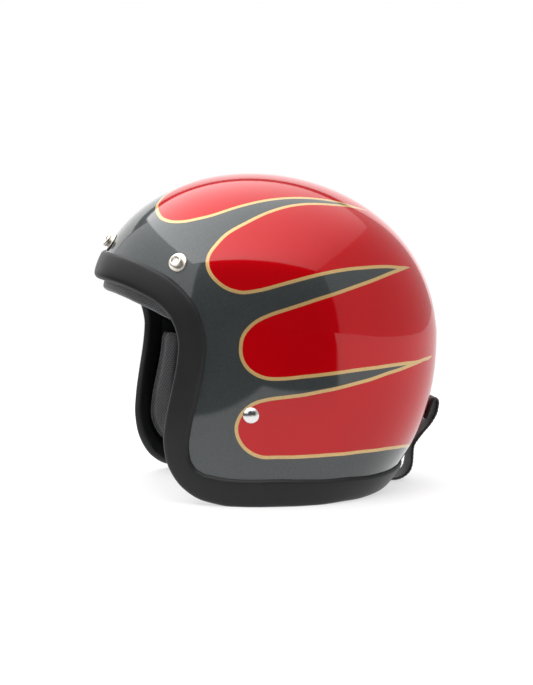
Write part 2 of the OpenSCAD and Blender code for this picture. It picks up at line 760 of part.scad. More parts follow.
module tail_snap_stud() {
    height = tail_gap - 1;
    foot = -web_thick - 0.6;
    at_tail_snap() color([0.3, 0.3, 0.3]) rotate_extrude($fn = 64) polygon([
        [0, foot], [small_flange_r - 1, foot], [small_flange_r - 0.6, -web_thick],
        [post_r, -web_thick], [post_r, 0], [small_flange_r, 0], [small_flange_r, 0.6],
        [small_head_r - 0.7, 0.9], [small_head_r - 0.7, height - 1.9],
        [small_head_r, height - 1.5], [small_head_r, height - 0.6],
        [small_head_r - 0.6, height], [0, height]]);
}

module strap_keeper() {
    wall = 1.4;
    room = 0.25;
    length = 12;
    inner_h = 2 * fold_r + web_thick + 2 * room;
    inner_w = web_width + 2 * room;
    color([0.05, 0.05, 0.055]) strap_frame(1)
    translate([tail_length - long_reach - 19, 0, lie_height + fold_r]) difference() {
        translate([0, -inner_w / 2 - wall, -inner_h / 2 - wall])
            cube([length, inner_w + 2 * wall, inner_h + 2 * wall]);
        translate([-1, -inner_w / 2, -inner_h / 2]) cube([length + 2, inner_w, inner_h]);
    }
}

// ---- Goggle strap ------------------------------------------------------------

// Places in the middle plane, as [y, z]: off the skin at a height, inside or out.
function off_back(z, off) = let (p = under(place(180, z), -off)) [p[1], p[2]];
function smooth(path, per) =
    let (n = len(path))
    concat([for (i = [0 : n - 2]) for (k = [0 : per - 1])
        spline(path[max(i - 1, 0)], path[i], path[i + 1], path[min(i + 2, n - 1)], k / per)],
        [path[n - 1]]);

nape = off_back(edge_height + nape_lift, 0);
goggle_gap = 3.6;
goggle_stud_h = goggle_gap - socket_top_t - 0.35;
// Clearance between the strap and the snap on each of its sides.
snap_seat = 0.15;
end_off = goggle_gap + goggle_thick / 2 + snap_seat;
wall_side = -shell_wall - goggle_thick / 2 - 1.1;
lining_side = wall_side - trim_lining - 0.1;
pass_z = goggle_thick / 2 + 0.4;
// The strap bends here when it is unsnapped.
bend = nape + [22.7, 18];

base_path = smooth([
    off_back(base_rivet_height + 4, wall_side), off_back(26, wall_side),
    off_back(19.5, lining_side + 0.5), off_back(13, lining_side), off_back(8, lining_side - 0.2),
    nape + [-8.8, 1], nape + [-9, -1.6], [nape[0] - 7, pass_z + 1], [nape[0] - 3, pass_z],
    [nape[0] + 3, pass_z], [nape[0] + 10, pass_z + 0.3], nape + [16, -2.4], nape + [20.3, 2],
    nape + [22, 8], bend - [0.3, 4], bend - [0.1, goggle_thick / 2 + 0.3]], 3);

// Outline of the ribbon with its first end rounded.
function rounded_ribbon(path, thick) =
    let (back = path[0] - path[1], heading = atan2(back[1], back[0]))
    concat(ribbon(path, thick), arc(path[0], thick / 2, heading + 75, heading - 75, 5));

// From the bend: height from the snap, and share of the loop's stand.
loop_rise = [[-27, 0.47], [-18, 0.59], [-13, 0.73], [-8, 0.87], [-1, 0.975], [4, 0.93],
             [7.6, 0.86], [9.5, 0.71]];
flap_path = smooth(concat([bend],
    [for (p = loop_rise) off_back(snap_height + p[0], p[1] * loop_stand)],
    [for (p = [[9, 1.3], [6.6, 0.2], [4.5, 0], [0, 0], [-7, 0]])
        off_back(snap_height + p[0], end_off + p[1])]), 3);

module goggle_web(path) {
    translate([-goggle_width / 2, 0, 0]) rotate([90, 0, 90])
        linear_extrude(height = goggle_width) polygon(ribbon(path, goggle_thick));
}

module goggle_strap_base() {
    color([0.05, 0.05, 0.05]) difference() {
        goggle_web(base_path);
        for (side = [1, -1]) on_skin(base_rivet_q(side), 20)
            cylinder(r = base_rivet_r + 0.05, h = 20);
    }
}

module goggle_base_rivets() {
    head_r = 3.2;
    head_t = 0.8;
    reach = -wall_side + goggle_thick / 2 + 0.5;
    color([0.7, 0.7, 0.7]) for (side = [1, -1]) on_skin(base_rivet_q(side)) union() {
        cylinder(r = head_r, h = head_t);
        translate([0, 0, -reach]) cylinder(r = base_rivet_r, h = reach + 0.1);
        translate([0, 0, -reach - head_t]) cylinder(r = head_r, h = head_t);
    }
}

module goggle_strap() {
    color([0.05, 0.05, 0.05]) difference() {
        translate([-goggle_width / 2, 0, 0]) rotate([90, 0, 90])
            linear_extrude(height = goggle_width)
            polygon(rounded_ribbon(flap_path, goggle_thick));
        on_skin(goggle_stud_q) cylinder(r = snap_hole_r, h = goggle_gap + goggle_thick + 1.2);
    }
}

// ---- Assembly ----------------------------------------------------------------

shell();
edge_trim();
impact_liner();
crown_pad();
brow_pad();
neck_pad();
cheek_pad();  // cheek_pad_left
mirror([1, 0, 0]) cheek_pad();  // cheek_pad_right
visor_stud(center_stud_q);  // visor_stud_center
visor_stud(side_stud_q(1));  // visor_stud_left
visor_stud(side_stud_q(-1));  // visor_stud_right
visor_stud_backings();
chin_rivet(1);  // chin_rivet_left
chin_rivet(-1);  // chin_rivet_right
rivet_spacer(1);  // rivet_spacer_left
rivet_spacer(-1);  // rivet_spacer_right
rivet_washer(1);  // rivet_washer_left
rivet_washer(-1);  // rivet_washer_right
strap_hanger(1);  // strap_hanger_left
strap_hanger(-1);  // strap_hanger_right
chin_strap_left();
chin_strap_right();
strap_keeper();
tail_snap_stud();
at_tail_snap() snap_socket(tail_gap);  // tail_snap_socket
at_tail_snap() snap_cap(tail_gap, web_thick);  // tail_snap_cap
d_ring(low_bar);  // d_ring_lower
d_ring(high_bar);  // d_ring_upper
shell_stud(goggle_stud_q, goggle_stud_h, small_head_r, small_flange_r);  // goggle_stud
stud_backing(goggle_stud_q);  // goggle_stud_backing
goggle_strap_base();
goggle_base_rivets();
goggle_strap();
on_skin(goggle_stud_q) snap_socket(goggle_gap);  // goggle_snap_socket
on_skin(goggle_stud_q)  // goggle_snap_cap
    snap_cap(goggle_gap, goggle_thick + 2 * snap_seat);
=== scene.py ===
"""Looks of an open face motorcycle helmet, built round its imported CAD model."""
import math
from types import SimpleNamespace

import bmesh
import bpy
import numpy as np
from bpy.props import FloatProperty, FloatVectorProperty, PointerProperty
from mathutils import Matrix, Vector
from mathutils.bvhtree import BVHTree
from mathutils.kdtree import KDTree


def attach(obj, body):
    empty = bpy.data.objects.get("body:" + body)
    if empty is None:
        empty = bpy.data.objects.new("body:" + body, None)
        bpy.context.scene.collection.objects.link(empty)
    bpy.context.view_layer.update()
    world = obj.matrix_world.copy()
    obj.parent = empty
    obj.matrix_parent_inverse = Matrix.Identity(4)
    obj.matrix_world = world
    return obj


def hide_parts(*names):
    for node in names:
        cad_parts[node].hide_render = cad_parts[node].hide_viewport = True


bl_info = {
    "name": "Open Face Helmet",
    "version": (1, 0, 0),
    "blender": (4, 5, 0),
    "location": "3D View > Sidebar > Helmet",
    "description": "Builds the painted shell, rubber trim, sewn pads, straps and snaps of a helmet",
    "category": "Add Mesh",
}

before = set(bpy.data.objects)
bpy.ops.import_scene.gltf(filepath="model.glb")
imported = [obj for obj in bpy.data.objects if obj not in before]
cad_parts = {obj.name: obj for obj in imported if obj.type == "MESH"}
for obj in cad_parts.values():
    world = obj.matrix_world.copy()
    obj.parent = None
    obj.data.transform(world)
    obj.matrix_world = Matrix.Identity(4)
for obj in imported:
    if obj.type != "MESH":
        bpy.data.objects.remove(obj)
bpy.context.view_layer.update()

MM = 0.001
SIDES = {"left": 1, "right": -1}


# ---- Sizes and colours that a user would change ----

def length(name, description, default, low, high):
    """A size in metres, given here in millimetres."""
    return FloatProperty(name=name, description=description, default=default * MM,
                         min=low * MM, max=high * MM, precision=5, unit="LENGTH")


def color(name, description, default):
    """A linear colour."""
    return FloatVectorProperty(name=name, description=description, default=default,
                               min=0, max=1, size=3, subtype="COLOR")


class HelmetForm(bpy.types.PropertyGroup):
    """Sizes of the shell and of what follows it"""
    shell_width: length("Width", "Width of the shell", 238, 200, 280)
    shell_length: length("Length", "Length of the shell", 280, 240, 320)
    shell_height: length("Height", "Height of the crown", 254, 220, 280)
    widest_height: length("Widest level", "Height of the widest level", 126, 100, 140)
    shell_wall: length("Wall", "Wall of the shell", 3.2, 2, 5)
    side_tuck: length("Side tuck", "How far each flank draws in below", 8, 0, 20)
    length_tuck: length("Length tuck", "How far brow and nape draw in below", 35, 0, 60)
    nape_tuck: length("Nape tuck", "How much more the nape draws in", 12, 0, 20)
    crown_lead: length("Crown lead", "How far the crown lies ahead", 13, 0, 20)
    brow_height: length("Brow height", "Height of the shell's edge at the brow", 174, 150, 190)
    edge_height: length("Edge height", "Height of the shell's edge below", 2.8, 1, 6)
    nape_lift: length("Nape lift", "How much higher the edge is at the nape", 4, 0, 8)
    trim_cover: length("Trim cover", "How far the rubber covers the shell", 19, 12, 24)
    trim_thick: length("Trim thickness", "Thickness of the rubber outside", 2.9, 2, 4)
    web_width: length("Webbing width", "Width of the chin strap", 25, 20, 30)
    web_thick: length("Webbing thickness", "Thickness of the chin strap", 2.2, 1.5, 3)
    goggle_width: length("Goggle strap width", "Width of the goggle strap", 26, 20, 30)
    goggle_thick: length("Goggle strap thickness", "Thickness of its leather", 2.4, 2, 3)


class HelmetPaint(bpy.types.PropertyGroup):
    """Colours and pinstripe of the shell"""
    base_grey: color("Base", "Metallic charcoal base", (0.050, 0.056, 0.057))
    scallop_red: color("Scallops", "Candy red of the scallops", (0.41, 0.0012, 0.004))
    stripe_gold: color("Pinstripe", "Gold of the pinstripes", (0.56, 0.37, 0.15))
    stripe_width: length("Pinstripe width", "Width of the pinstripes", 2.7, 1, 5)
    flake_size: length("Flake size", "Size of the metallic flakes", 0.35, 0.1, 2)


class HelmetSoft(bpy.types.PropertyGroup):
    """Sewing of the pads and straps"""
    swell: length("Swell", "Most that a pad's cover may swell", 5, 0, 12)
    pressure: FloatProperty(name="Pressure", description="Pressure of the foam in its cover",
                            default=4, min=0, max=20)
    stitch_pitch: length("Stitch pitch", "Distance between stitches", 3.2, 2, 6)
    stitch_thick: length("Thread", "Thickness of the thread", 0.7, 0.3, 1.2)
    piping_radius: length("Piping", "Radius of the piping", 1.3, 0.8, 2)
    thread: color("Thread colour", "Colour of the thread", (0.03, 0.03, 0.032))


class HelmetStudio(bpy.types.PropertyGroup):
    """Camera and floor"""
    azimuth: FloatProperty(name="Azimuth", description="Bearing of the camera in degrees",
                           default=79.078, min=-180, max=180)
    elevation: FloatProperty(name="Elevation", description="Height of the camera in degrees",
                             default=5.75, min=-10, max=80)
    distance: FloatProperty(name="Distance", description="Distance of the camera",
                            default=1.8, min=0.5, max=5, unit="LENGTH")
    lens: FloatProperty(name="Lens", description="Focal length in millimetres",
                        default=115.98, min=20, max=300)
    floor_size: FloatProperty(name="Floor", description="Half width of the floor",
                              default=6, min=1, max=20, unit="LENGTH")


def form():
    """Sizes of the helmet's form in millimetres."""
    group = bpy.context.scene.helmet_form
    return SimpleNamespace(**{key: getattr(group, key) / MM for key in group.__annotations__})


# ---- Form of the shell ----
# A place on the shell is q = drop * (sin(bearing), -cos(bearing)), in degrees.
# The bearing is 0 at the face and 180 at the nape. The drop is 0 at the crown,
# 90 at the widest level, and grows evenly with depth below it.

SIDE_FULLNESS = 2.4
LENGTH_FULLNESS = 2.3
REAR_BREADTH = 0.05
TUCK_POWER = 2.5
FORE_AFT_SHIFT = -21.7
CROWN_POLE = np.array([0.0, 40.0])
FAN_SPREAD = 0.5


def unit(v):
    """Vectors of length one."""
    return v / np.linalg.norm(v, axis=-1, keepdims=True)


def ease(t):
    """A smooth step from 0 to 1."""
    t = np.clip(t, 0, 1)
    return t * t * (3 - 2 * t)


def place(bearing, z):
    """q of a bearing in degrees and a height in millimetres."""
    f = form()
    rise = f.shell_height - f.widest_height
    up = (np.asarray(z, float) - f.widest_height) / rise
    drop = np.where(up >= 0, np.degrees(np.arccos(np.clip(up, 0, 1))), 90 - np.degrees(up))
    b = np.radians(bearing)
    return np.stack([drop * np.sin(b), -drop * np.cos(b)], -1)


def polar(points):
    """q of pairs of bearing and drop."""
    points = np.asarray(points, float)
    b = np.radians(points[:, 0])
    return points[:, 1:2] * np.stack([np.sin(b), -np.cos(b)], -1)


def skin(q):
    """Points of the outer skin, in millimetres."""
    f = form()
    q = np.asarray(q, float)
    drop = np.hypot(q[..., 0], q[..., 1])
    far = np.maximum(drop, 1e-9)
    sine = q[..., 0] / far
    cosine = np.where(drop < 1e-9, 1, -q[..., 1] / far)
    above = drop <= 90
    u = np.where(above, np.cos(np.radians(drop)), 0)
    rise = f.shell_height - f.widest_height
    z = np.where(above, f.widest_height + rise * u,
                 f.widest_height - rise * np.radians(drop - 90))
    low = np.where(above, 0, np.clip(1 - z / f.widest_height, 0, 2) ** TUCK_POWER)
    u = np.clip(u, 0, 1)
    half_w = f.shell_width / 2 * np.sqrt(1 - u ** SIDE_FULLNESS) - f.side_tuck * low
    half_l = f.shell_length / 2 * np.sqrt(1 - u ** LENGTH_FULLNESS) - f.length_tuck * low
    middle = f.crown_lead * (1 - u) - f.nape_tuck * low
    egg = REAR_BREADTH * np.where(above, np.sin(np.radians(drop)), 1)
    return np.stack([half_w * sine * (1 - egg * cosine),
                     middle - half_l * cosine + FORE_AFT_SHIFT + f.crown_lead / 2, z], -1)


def slopes(q):
    """How the skin changes along both axes of q, per degree."""
    a, b = np.array([0.5, 0.0]), np.array([0.0, 0.5])
    return skin(q + a) - skin(q - a), skin(q + b) - skin(q - b)


def outward(q):
    """Directions square off the skin."""
    return unit(np.cross(*slopes(np.asarray(q, float))))


def under(q, depth):
    """Points at a depth under the outer skin."""
    return skin(q) - np.asarray(depth, float)[..., None] * outward(q)


def stride(q, along):
    """Change of q that moves one millimetre along a direction in the skin."""
    a, b = slopes(q)
    aa, ab, bb = (a * a).sum(-1), (a * b).sum(-1), (b * b).sum(-1)
    da, db = (a * along).sum(-1), (b * along).sum(-1)
    det = aa * bb - ab * ab
    return np.stack([(bb * da - ab * db) / det, (aa * db - ab * da) / det], -1)


def curve(points, per, closed=False):
    """Smooth curve through points, with per steps between two of them."""
    p = np.asarray(points, float)
    if closed:
        a, b, c, d = (np.roll(p, k, 0) for k in (1, 0, -1, -2))
    else:
        pad = np.vstack([p[:1], p, p[-1:]])
        a, b, c, d = pad[:-3], pad[1:-2], pad[2:-1], pad[3:]
    t = (np.arange(per) / per)[None, :, None]
    a, b, c, d = (v[:, None, :] for v in (a, b, c, d))
    out = 0.5 * (2 * b + (c - a) * t + (2 * a - 5 * b + 4 * c - d) * t ** 2
                 + (3 * b - a - 3 * c + d) * t ** 3)
    out = out.reshape(-1, p.shape[1])
    return out if closed else np.vstack([out, p[-1:]])


def ways(points):
    """How far along a line each of its points lies."""
    return np.concatenate([[0], np.cumsum(np.linalg.norm(np.diff(points, axis=0), axis=1))])


def spaced(values, way, count, closed):
    """Values at even distances along a line, from those at its points."""
    at = np.linspace(0, way[-1], count, endpoint=not closed)
    return np.stack([np.interp(at, way, column) for column in values.T], -1)


def even(points, count, closed=False):
    """Places an even distance apart along a line of points."""
    p = np.asarray(points, float)
    if closed:
        p = np.vstack([p, p[:1]])
    return spaced(p, ways(p), count, closed)


def even_on_skin(q, count, closed=True):
    """Places of a line of q that lie an even distance apart on the skin."""
    line = np.vstack([q, q[:1]]) if closed else q
    fine = even(np.hstack([skin(line), line]), 4 * len(line))[:, 3:]
    return spaced(fine, ways(skin(fine)), count, closed)


def way_out(loop):
    """Directions in the skin that lead square out over a closed line of q."""
    at = skin(loop)
    along = unit(np.roll(at, -1, 0) - np.roll(at, 1, 0))
    return unit(np.cross(along, outward(loop)))


def fan(loop, pole, rings, lead):
    """Grid of q from a pole out to a loop: its lines spread evenly and end square."""
    off = loop - pole
    first = math.atan2(off[0, 0], -off[0, 1])
    angle = first + 2 * math.pi * np.arange(len(loop)) / len(loop)
    leave = (pole + FAN_SPREAD * np.linalg.norm(off, axis=1, keepdims=True)
             * np.stack([np.sin(angle), -np.cos(angle)], 1))
    turn = loop - stride(loop, way_out(loop)) * lead
    t = (np.arange(1, rings + 1) / rings)[:, None, None]
    return (pole * (1 - t) ** 3 + leave * 3 * t * (1 - t) ** 2 + turn * 3 * t * t * (1 - t)
            + loop * t ** 3)


def mirrored(half):
    """A closed line of q from its left half, which starts and ends in the middle."""
    half = np.asarray(half, float)
    return np.vstack([half, half[-2:0:-1] * [-1, 1]])


RIM_HALF = [
    (0, 1), (12, 0.998), (24, 0.988), (36, 0.957), (45, 0.912), (50.5, 0.845),
    (52.7, 0.765), (52.8, 0.68), (51.6, 0.58), (49.4, 0.47), (47, 0.36),
    (45.3, 0.26), (46, 0.155), (50.5, 0.07), (58.5, 0.02), (70, 0), (83, 0),
    (98, 0), (113, 0), (130, 0)]
RIM_REAR = [147, 164, 180]


def rim_z(share):
    """Heights from shares of the way up from the shell's edge to its brow."""
    f = form()
    return f.edge_height + np.asarray(share, float) * (f.brow_height - f.edge_height)


def rim_loop(count):
    """The shell's edge as an even loop of q, from the middle of the brow."""
    f = form()
    half = [place(b, rim_z(s)) for b, s in RIM_HALF]
    half += [place(b, f.edge_height + f.nape_lift * ease((b - 130) / 50)) for b in RIM_REAR]
    return even_on_skin(curve(mirrored(half), 8, closed=True), count)


# ---- Meshes ----

def mesh_object(name, points, edges, faces):
    """An object in the scene with a new mesh, from points in millimetres."""
    mesh = bpy.data.meshes.new(name)
    mesh.from_pydata((np.asarray(points, float) * MM).tolist(), edges, faces)
    obj = bpy.data.objects.new(name, mesh)
    bpy.context.scene.collection.objects.link(obj)
    return obj


def set_uv(obj, uv):
    """Gives a piece a UV map, in millimetres, from its points."""
    layer = obj.data.uv_layers.get("UVMap") or obj.data.uv_layers.new(name="UVMap")
    corner = np.empty(len(obj.data.loops), np.int32)
    obj.data.loops.foreach_get("vertex_index", corner)
    layer.data.foreach_set("uv", uv[corner].astype(np.float32).ravel())


def piece(name, points, faces, material, uv=None):
    """A smooth object of one material, from points in millimetres."""
    obj = mesh_object(name, points, [], faces)
    obj.data.materials.append(material)
    if uv is not None:
        set_uv(obj, uv)
    obj.data.polygons.foreach_set("use_smooth", [True] * len(faces))
    obj.data.update()
    return obj


def read(items, key, width=1):
    """Values of a mesh's points or of its attribute, as an array."""
    values = np.empty(len(items) * width, np.float32)
    items.foreach_get(key, values)
    return values.reshape(-1, width) if width > 1 else values


def vertices(obj):
    """Points of a piece in millimetres."""
    return read(obj.data.vertices, "co", 3) / MM


def belongs(obj, body, slot, *nodes):
    """Says which body a piece moves with and the solids it stands for; its finish, the slot, is not
    used.
    """
    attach(obj, body)
    if nodes:
        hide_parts(*nodes)
    return obj


def strip(a, b, n, closed=True):
    """Quads between two rows of n points that start at a and b."""
    last = n if closed else n - 1
    return [(a + i, a + (i + 1) % n, b + (i + 1) % n, b + i) for i in range(last)]


def cup(pole, grid):
    """Points of q and faces of a sheet that runs from a pole out to a loop."""
    rings, n = grid.shape[:2]
    q = np.vstack([pole[None], grid.reshape(-1, 2)])
    faces = [(0, 1 + (i + 1) % n, 1 + i) for i in range(n)]
    for j in range(rings - 1):
        faces += [(a, d, c, b) for a, b, c, d in strip(1 + j * n, 1 + (j + 1) * n, n)]
    return q, [tuple(reversed(f)) for f in faces]


def swept(sections, closed=True):
    """Faces of a tube through equal sections, each a ring of points."""
    n, m = sections.shape[:2]
    faces = []
    for i in range(n if closed else n - 1):
        a, b = i * m, (i + 1) % n * m
        faces += strip(a, b, m)
    if not closed:
        faces.append(tuple(range(m - 1, -1, -1)))
        faces.append(tuple((n - 1) * m + k for k in range(m)))
    return faces


def outward_facing(obj):
    """Turns a closed mesh's faces outwards."""
    bm = bmesh.new()
    bm.from_mesh(obj.data)
    bmesh.ops.recalc_face_normals(bm, faces=bm.faces)
    bm.to_mesh(obj.data)
    bm.free()
    return obj


def plain_mesh(obj):
    """Turns an object with modifiers into the mesh that they make."""
    depsgraph = bpy.context.evaluated_depsgraph_get()
    mesh = bpy.data.meshes.new_from_object(obj.evaluated_get(depsgraph), depsgraph=depsgraph)
    obj.modifiers.clear()
    old = obj.data
    obj.data = mesh
    bpy.data.meshes.remove(old)
    return obj


SHARP_ANGLE = math.radians(35)
FLAT_ANGLE = math.radians(1)


def smooth_copy(node, material, bevel):
    """A finished copy of a CAD node: merged, with soft shading and worn edges."""
    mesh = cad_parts[node].data.copy()
    obj = bpy.data.objects.new(node + "_finish", mesh)
    bpy.context.scene.collection.objects.link(obj)
    bm = bmesh.new()
    bm.from_mesh(mesh)
    bmesh.ops.remove_doubles(bm, verts=bm.verts, dist=2e-6)
    bmesh.ops.dissolve_degenerate(bm, edges=bm.edges, dist=1e-6)
    bmesh.ops.dissolve_limit(bm, angle_limit=FLAT_ANGLE, verts=bm.verts, edges=bm.edges)
    bm.to_mesh(mesh)
    bm.free()
    if bevel:
        edge = obj.modifiers.new("Edge", "BEVEL")
        edge.width = bevel * MM
        edge.segments = 2
        edge.limit_method = "ANGLE"
        edge.angle_limit = SHARP_ANGLE
        plain_mesh(obj)
        mesh = obj.data
    mesh.materials.clear()
    mesh.materials.append(material)
    mesh.polygons.foreach_set("use_smooth", [True] * len(mesh.polygons))
    mesh.set_sharp_from_angle(angle=SHARP_ANGLE)
    return obj


# ---- Shader maths ----

class Shade:
    """A socket of a material; arithmetic on it adds Math nodes."""

    def __init__(self, finish, socket):
        self.finish, self.socket = finish, socket

    def math(self, operation, *others):
        """A Math node that works on this value and others."""
        return self.finish.add("Math", {"operation": operation},
                               dict(enumerate((self, *others))))

    def __add__(self, other):
        return self.math("ADD", other)

    def __sub__(self, other):
        return self.math("SUBTRACT", other)

    def __mul__(self, other):
        return self.math("MULTIPLY", other)

    def __truediv__(self, other):
        return self.math("DIVIDE", other)

    def __rsub__(self, other):
        return self.finish.add("Math", {"operation": "SUBTRACT"}, {0: other, 1: self})

    __radd__ = __add__
    __rmul__ = __mul__

    def __abs__(self):
        return self.math("ABSOLUTE")

    def least(self, other):
        return self.math("MINIMUM", other)

    def most(self, other):
        return self.math("MAXIMUM", other)

    def below(self, edge, soft):
        """1 where the value is under an edge, 0 over it, with a soft step."""
        return self.finish.add("MapRange", {"interpolation_type": "SMOOTHSTEP"},
                               {0: self, 1: edge - soft, 2: edge + soft, 3: 1.0, 4: 0.0})


class Finish:
    """The nodes of a material or a world in the making."""

    def __init__(self, owner):
        owner.use_nodes = True
        self.owner, self.tree = owner, owner.node_tree
        self.shader = self.tree.nodes.get("Principled BSDF")

    def add(self, kind, settings=None, sockets=None, out=0):
        """Adds a node with its settings and sockets, and returns one of its outputs."""
        node = self.tree.nodes.new("ShaderNode" + kind)
        for key, value in (settings or {}).items():
            setattr(node, key, value)
        for key, value in (sockets or {}).items():
            self.feed(node.inputs[key], value)
        return Shade(self, node.outputs[out])

    def feed(self, socket, value):
        """Links a value to a socket, or sets it there."""
        if isinstance(value, Shade):
            self.tree.links.new(value.socket, socket)
        elif isinstance(value, (tuple, list)) and len(value) == 3 and socket.type == "RGBA":
            socket.default_value = (*value, 1)
        else:
            socket.default_value = value

    def mix(self, factor, a, b):
        """A colour between two colours."""
        return self.add("Mix", {"data_type": "RGBA"}, {0: factor, 6: a, 7: b}, out=2)

    def object_place(self):
        return self.add("TexCoord", out="Object")

    def uv_place(self):
        return self.add("UVMap", {"uv_map": "UVMap"})

    def noise(self, where, scale, detail=3.0, roughness=0.5):
        return self.add("TexNoise", None, {"Vector": where, "Scale": scale, "Detail": detail,
                                           "Roughness": roughness})

    def cells(self, where, scale, feature="F1", out="Distance"):
        return self.add("TexVoronoi", {"feature": feature}, {"Vector": where, "Scale": scale},
                        out=out)

    def parts(self, vector):
        """The three numbers of a vector."""
        node = self.tree.nodes.new("ShaderNodeSeparateXYZ")
        self.feed(node.inputs[0], vector)
        return [Shade(self, o) for o in node.outputs]

    def bump(self, height, distance, strength=1.0):
        """A normal from a height between 0 and 1, of a real depth in millimetres."""
        return self.add("Bump", None, {"Height": height, "Distance": distance * MM,
                                       "Strength": strength})

    def done(self, **sockets):
        """Sets the shader's sockets, which are named here with underscores."""
        for key, value in sockets.items():
            self.feed(self.shader.inputs[key.replace("_", " ")], value)


def finish(name):
    """A finish by its name, made once."""
    full = "helmet_" + name
    if full not in bpy.data.materials:
        FINISHES[name](Finish(bpy.data.materials.new(full)))
    return bpy.data.materials[full]


def grained(made, grain, tones, rough, depth, strength, **others):
    """A surface whose grain sets its tone, roughness and relief."""
    made.done(Base_Color=made.mix(grain, *tones), Roughness=rough[0] + grain * rough[1],
              Normal=made.bump(grain, depth, strength), **others)


def shell_paint(made):
    """Charcoal metallic with candy red scallops and gold pinstripes under lacquer."""
    p = bpy.context.scene.helmet_paint
    edges = [made.add("Attribute", {"attribute_name": f"scallop_{k}"}, out="Fac")
             for k in range(1, 5)]
    nearest = edges[0]
    for edge in edges[1:]:
        nearest = nearest.least(edge)
    half = p.stripe_width / MM / 2
    soft = 0.16
    red = nearest.below(0.0, soft)
    gold = abs(nearest).below(half, soft)
    where = made.object_place()
    flake = made.cells(where, 1 / p.flake_size, out="Color")
    glint = made.add("SeparateColor", None, {0: flake})
    cloud = made.noise(where, 14.0, 3.0)
    bright = made.mix(glint * 0.5 + cloud * 0.3, [c * 0.62 for c in p.base_grey],
                      [c * 1.55 for c in p.base_grey])
    deep = made.mix(cloud, [c * 0.9 for c in p.scallop_red], [c * 1.08 for c in p.scallop_red])
    leaf = made.mix(glint, [c * 0.86 for c in p.stripe_gold], [c * 1.14 for c in p.stripe_gold])
    base = made.mix(gold, made.mix(red, bright, deep), leaf)
    metallic = made.add("Mix", None, {0: gold, 2: 0.55 - red * 0.22, 3: 0.55})
    rough = made.add("Mix", None, {0: gold, 2: 0.42 - red * 0.17, 3: 0.34})
    speck = made.bump(glint * (1 - red) * 0.5 + gold * 0.5, 0.012, 0.4)
    made.done(Base_Color=base, Metallic=metallic, Roughness=rough, Normal=speck,
              Specular_IOR_Level=0.0, Coat_Weight=1 - red * 0.28, Coat_Roughness=0.015,
              Coat_IOR=1.56)


def trim_rubber(made):
    """Satin black moulded rubber with a fine grain and dusty rubs."""
    where = made.object_place()
    grain = made.noise(where, 1900.0, 2.0)
    rub = made.noise(where, 24.0, 5.0, 0.65)
    base = made.mix(rub, (0.006, 0.006, 0.007), (0.014, 0.014, 0.015))
    made.done(Base_Color=base, Roughness=0.36 + rub * 0.2 + grain * 0.06,
              Normal=made.bump(grain * 0.6 + rub * 0.4, 0.05, 0.5),
              Specular_IOR_Level=0.32)


def impact_foam(made):
    """Black bead foam."""
    where = made.object_place()
    bead = made.cells(where, 330.0)
    tone = made.cells(where, 330.0, out="Color")
    base = made.mix(tone, (0.018, 0.018, 0.019), (0.038, 0.038, 0.040))
    made.done(Base_Color=base, Roughness=0.72 - bead * 0.1,
              Normal=made.bump(1 - bead, 0.5, 0.9))


def perforation(made, where, pitch, radius):
    """1 inside round holes set in staggered rows; where holds millimetres."""
    x, y, _ = made.parts(where)
    rows = pitch * math.sqrt(3)
    nearest = None
    for shift_x, shift_y in ((0, 0), (pitch / 2, rows / 2)):
        a = (x + shift_x).math("PINGPONG", pitch / 2)
        b = (y + shift_y).math("PINGPONG", rows / 2)
        far = (a * a + b * b).math("SQRT")
        nearest = far if nearest is None else nearest.least(far)
    return nearest.below(radius, 0.14)


def comfort_mesh(made):
    """Black spacer mesh: a knitted face with rows of small round holes."""
    where = made.uv_place()
    hole = perforation(made, where, 1.9, 0.52)
    x, y, _ = made.parts(where)
    knit = (x * 9.0).math("SINE") * (y * 9.0).math("SINE") * 0.5 + 0.5
    fuzz = made.noise(made.object_place(), 900.0, 3.0)
    tone = made.noise(made.object_place(), 30.0, 4.0)
    face = made.mix(tone * 0.7 + fuzz * 0.3, (0.027, 0.027, 0.029), (0.068, 0.068, 0.072))
    base = made.mix(hole, face, (0.004, 0.004, 0.004))
    made.done(Base_Color=base, Roughness=0.88 - fuzz * 0.12,
              Normal=made.bump((1 - hole) * 0.8 + knit * 0.12 + fuzz * 0.08, 0.35, 0.9),
              Sheen_Weight=0.35, Sheen_Roughness=0.45)


def comfort_cloth(made):
    """Black brushed cloth."""
    where = made.object_place()
    fuzz = made.noise(where, 1400.0, 4.0, 0.7)
    tone = made.noise(where, 36.0, 4.0)
    base = made.mix(tone * 0.6 + fuzz * 0.4, (0.012, 0.012, 0.013), (0.036, 0.036, 0.038))
    made.done(Base_Color=base, Roughness=0.92 - fuzz * 0.1,
              Normal=made.bump(fuzz, 0.25, 0.8), Sheen_Weight=0.5, Sheen_Roughness=0.5)


def piping(made):
    """Black leathercloth over a cord."""
    grained(made, made.cells(made.object_place(), 1300.0),
            ((0.020, 0.020, 0.021), (0.010, 0.010, 0.010)), (0.42, 0.25), 0.08, 0.6)


def webbing(made):
    """Black ribbed polyester webbing; its UV is in millimetres along and across."""
    along, across, _ = made.parts(made.uv_place())
    rib = (across * 3.6).math("SINE") * 0.5 + 0.5
    pick = (along * 5.2 + (across * 1.8).math("SINE") * 1.4).math("SINE") * 0.5 + 0.5
    fuzz = made.noise(made.object_place(), 1500.0, 3.0)
    weave = rib * 0.55 + pick * 0.35 + fuzz * 0.1
    base = made.mix(weave, (0.007, 0.007, 0.008), (0.034, 0.034, 0.037))
    made.done(Base_Color=base, Roughness=0.74 - weave * 0.16,
              Normal=made.bump(weave, 0.28, 0.9), Sheen_Weight=0.2)


